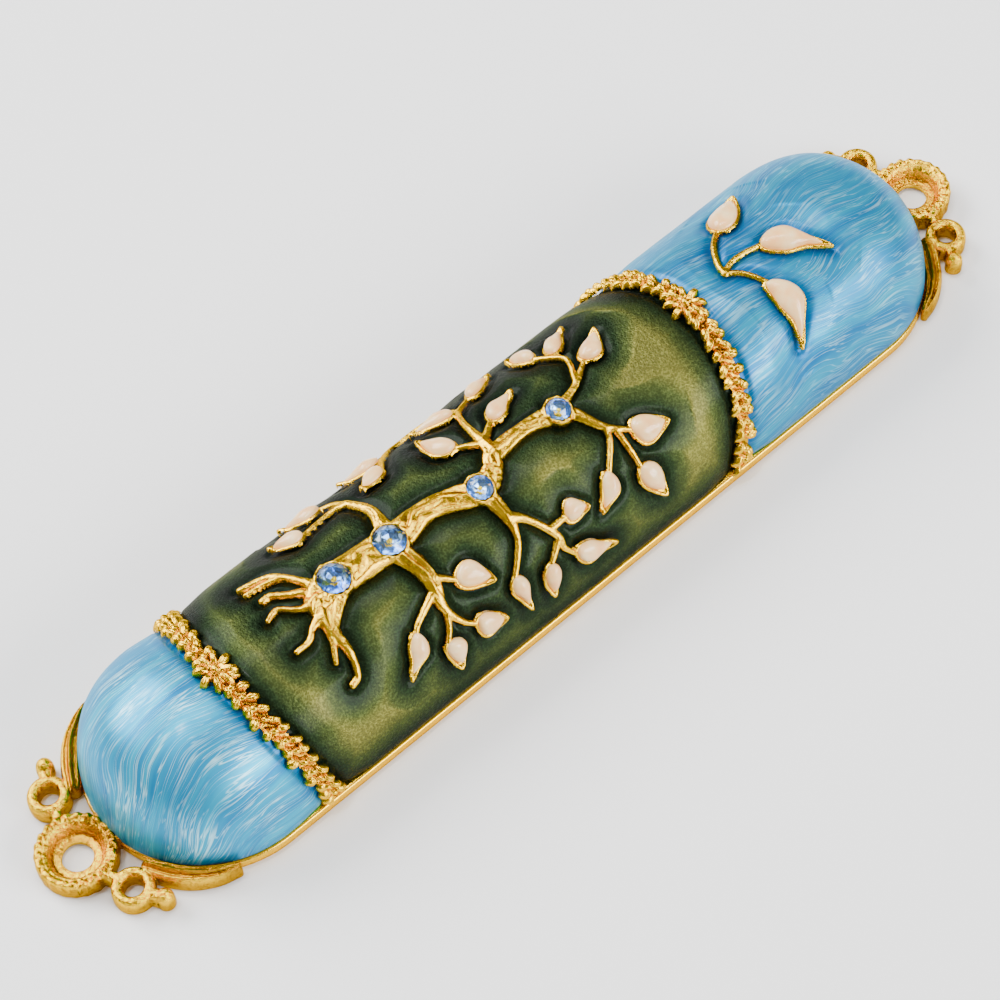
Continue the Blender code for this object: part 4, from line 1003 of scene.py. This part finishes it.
def cut_stone(radius):
    """A stone with table, star, kite and girdle facets over a foiled point, the second material."""
    bm = bmesh.new()
    sides, around = STONE_SIDES, 2 * STONE_SIDES

    def ring(count, r, z, phase):
        """Corners of a regular polygon, turned by a fraction of a side."""
        angles = [2 * math.pi * (k + phase) / count for k in range(count)]
        return [bm.verts.new((r * math.cos(angle), r * math.sin(angle), z)) for angle in angles]

    culet = bm.verts.new((0, 0, CULET_Z))
    low = ring(around, radius, GIRDLE_Z, 0)
    high = ring(around, radius, GIRDLE_Z + 0.08, 0)
    mids = ring(sides, radius * 0.82, GIRDLE_Z + 0.36, 0.5)
    table = ring(sides, radius * 0.56, GIRDLE_Z + 0.66, 0)
    back = ring(sides, radius * 0.45, GIRDLE_Z - 0.62, 0.5)
    crown, pavilion = [table], []
    for k in range(sides):
        n = (k + 1) % sides
        a, b, c = 2 * k, 2 * k + 1, (2 * k + 2) % around
        crown += [(table[n], table[k], mids[k]), (table[k], mids[k - 1], high[a]),
                  (table[k], high[a], mids[k]), (high[a], high[b], mids[k]), (high[b], high[c], mids[k]),
                  (low[a], low[b], high[b], high[a]), (low[b], low[c], high[c], high[b])]
        pavilion += [(culet, back[n], back[k]), (back[k], low[b], low[a]), (back[k], low[c], low[b]),
                     (back[k], back[n], low[c])]
    for material_index, facets in enumerate((crown, pavilion)):
        for corners in facets:
            bm.faces.new(corners).material_index = material_index
    bmesh.ops.recalc_face_normals(bm, faces=bm.faces)
    return bm


def build_crystals():
    """The four round stones, each turned a little further, upright on the dome in its seat."""
    overlap = 1.06
    glass, foil = crystal_materials()
    for number, (x, s, seat_radius) in enumerate(CRYSTALS, 1):
        name = "crystal_%d" % number
        bm = cut_stone(seat_radius * overlap)
        base = Vector(dome(np.array(x), np.array(s), 0.0) / MM)
        turn = Matrix.Rotation(-s / RADIUS, 4, "X") @ Matrix.Rotation(0.3 * number, 4, "Z")
        bm.transform(Matrix.Translation(base) @ turn)
        bm.transform(Matrix.Scale(MM, 4))
        mesh = bpy.data.meshes.new(name + "_stone")
        bm.to_mesh(mesh)
        bm.free()
        mesh.materials.append(glass)
        mesh.materials.append(foil)
        stone = add_object(name + "_stone", mesh)
        on_case(stone, name)


def build_scroll():
    """Parchment rolled tightly, its turns slightly uneven at the ends, with a ribbon round it."""
    low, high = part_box("parchment_scroll")
    length = (high.x - low.x) / MM
    band_low, band_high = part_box("scroll_band")
    axis_z = (band_low.z + band_high.z) / 2 / MM
    turns, per_turn, stations = 4.6, 44, 46
    inner, outer, sheet = 1.2, 3.72, 0.26
    steps = int(turns * per_turn)
    a, x = np.meshgrid(np.linspace(0, turns, steps + 1), np.linspace(-1, 1, stations), indexing="ij")
    angle = 2 * math.pi * a + 0.6
    middle = inner + (outer - inner) * a / turns
    middle = middle + 0.05 * lattice_noise(a * 9, x * 6, 2.0, 61)
    px = x * (length / 2 - 0.25) + 0.2 * np.sin(angle * 0.5) * x ** 8
    layers = []
    for half in (-sheet / 2, sheet / 2):
        r = middle + half
        layers.append(np.stack([px, r * np.cos(angle), axis_z + r * np.sin(angle)], -1).reshape(-1, 3))
    count = a.size
    quads = grid_quads(*a.shape, np.ones(a.shape, bool))
    rim = open_edges(quads, count)
    walls = np.stack([rim[:, 1], rim[:, 0], rim[:, 0] + count, rim[:, 1] + count], -1)
    faces = np.vstack([quads, quads[:, ::-1] + count, walls])
    roll = mesh_from_arrays("parchment_roll", np.vstack(layers) * MM, faces, parchment_material())
    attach(roll, "scroll")
    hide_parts("parchment_scroll")

    width = (band_high.x - band_low.x) / MM
    # Section of the ribbon: place across its width, radius
    profile = ((-0.5, 4.05), (-0.5, 4.2), (-0.44, 4.34), (-0.2, 4.38), (0.0, 4.4), (0.2, 4.38), (0.44, 4.34),
               (0.5, 4.2), (0.5, 4.05), (0.0, 4.0))
    segments = 96
    points, faces = [], []
    for k in range(segments):
        angle = 2 * math.pi * k / segments
        crimp = 0.03 * math.sin(angle * 9)
        for along, r in profile:
            points.append((along * width, (r + crimp) * math.cos(angle),
                           axis_z + (r + crimp) * math.sin(angle)))
    size = len(profile)
    for k in range(segments):
        n = (k + 1) % segments
        for j in range(size):
            m = (j + 1) % size
            faces.append((k * size + j, n * size + j, n * size + m, k * size + m))
    band = mesh_from_arrays("ribbon_band", np.array(points) * MM, np.array(faces), ribbon_material())
    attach(band, "scroll")
    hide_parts("scroll_band")


def build_stage():
    """A plain pale floor just under the case, and a sky that brightens upwards."""
    half = 2.0
    mesh = bpy.data.meshes.new("floor")
    corners = [(-half, -half, 0), (half, -half, 0), (half, half, 0), (-half, half, 0)]
    mesh.from_pydata(corners, [], [(0, 1, 2, 3)])
    floor = add_object("floor", mesh)
    floor.location.z = -0.0004
    mat, _, shader = new_material("floor_look")
    set_values(shader, {"Base Color": (0.93, 0.93, 0.93, 1), "Roughness": 0.9, "Specular IOR Level": 0.1})
    mesh.materials.append(mat)
    world = bpy.data.worlds.new("studio")
    bpy.context.scene.world = world
    world.use_nodes = True
    tree = world.node_tree
    background = tree.nodes["Background"]
    coords = tree.nodes.new("ShaderNodeTexCoord")
    parts = tree.nodes.new("ShaderNodeSeparateXYZ")
    feed(tree, coords.outputs["Generated"], parts.inputs[0])
    sky = ramp(tree, ((0.0, grey(0.05)), (0.3, grey(0.22)), (0.85, grey(0.50))), parts.outputs["Z"])
    feed(tree, sky, background.inputs["Color"])
    feed(tree, 1.0, background.inputs["Strength"])


def area_light(name, location, size, power):
    """A white lamp aimed at the middle of the case."""
    data = bpy.data.lights.new(name, "AREA")
    data.shape = "RECTANGLE"
    data.size, data.size_y = size
    data.energy = power
    lamp = add_object(name, data)
    lamp.location = location
    lamp.rotation_euler = (-Vector(location)).to_track_quat("-Z", "Y").to_euler()


def build_camera():
    """Seen from the front, above the root end, close enough for clear perspective."""
    distance = 0.32027
    azimuth, elevation, roll = math.radians(-128.83), math.radians(58.35), math.radians(-3.91)
    target = Vector((-0.00037, 0.00089, 0.0))
    back = Vector((math.cos(elevation) * math.cos(azimuth), math.cos(elevation) * math.sin(azimuth),
                   math.sin(elevation)))
    right = (-back).cross(Vector((0, 0, 1))).normalized()
    up = right.cross(-back)
    turned_right = math.cos(roll) * right + math.sin(roll) * up
    turned_up = -math.sin(roll) * right + math.cos(roll) * up
    data = bpy.data.cameras.new("camera")
    data.sensor_width = 36.0
    data.lens = 109.3
    data.shift_x = -0.012
    data.shift_y = 0.006
    data.clip_start = 0.01
    camera = add_object("camera", data)
    rotation = Matrix((turned_right, turned_up, back)).transposed().to_4x4()
    camera.matrix_world = Matrix.Translation(target + back * distance) @ rotation
    bpy.context.scene.camera = camera


gold = gold_material("gold_polished_look", 0.14, 0.45, (1.0, 0.59, 0.012))
rough_gold = gold_material("gold_cast_look", 0.12, 0.85, (1.0, 0.60, 0.008))
build_camera()
rim_gold = gold_material("gold_rim_look", 0.22, 0.12, (1.0, 0.58, 0.02))
build_gold(gold, rough_gold, rim_gold)
build_enamel()
build_leaves(leaf_material())
build_crystals()
build_scroll()
cover = nodes["back_cover"]
cover_look = sheet_metal_material()
for cover_slot in cover.material_slots:
    cover_slot.material = cover_look
build_stage()
area_light("key", (-0.26, 0.70, 0.56), (0.7, 0.5), 17.0)
area_light("fill", (0.30, -0.74, 0.42), (0.7, 0.35), 13.0)
area_light("top", (0.15, 0.15, 0.95), (0.5, 0.15), 4.0)
area_light("spark", (-0.20, 0.10, 0.85), (0.07, 0.07), 2.2)
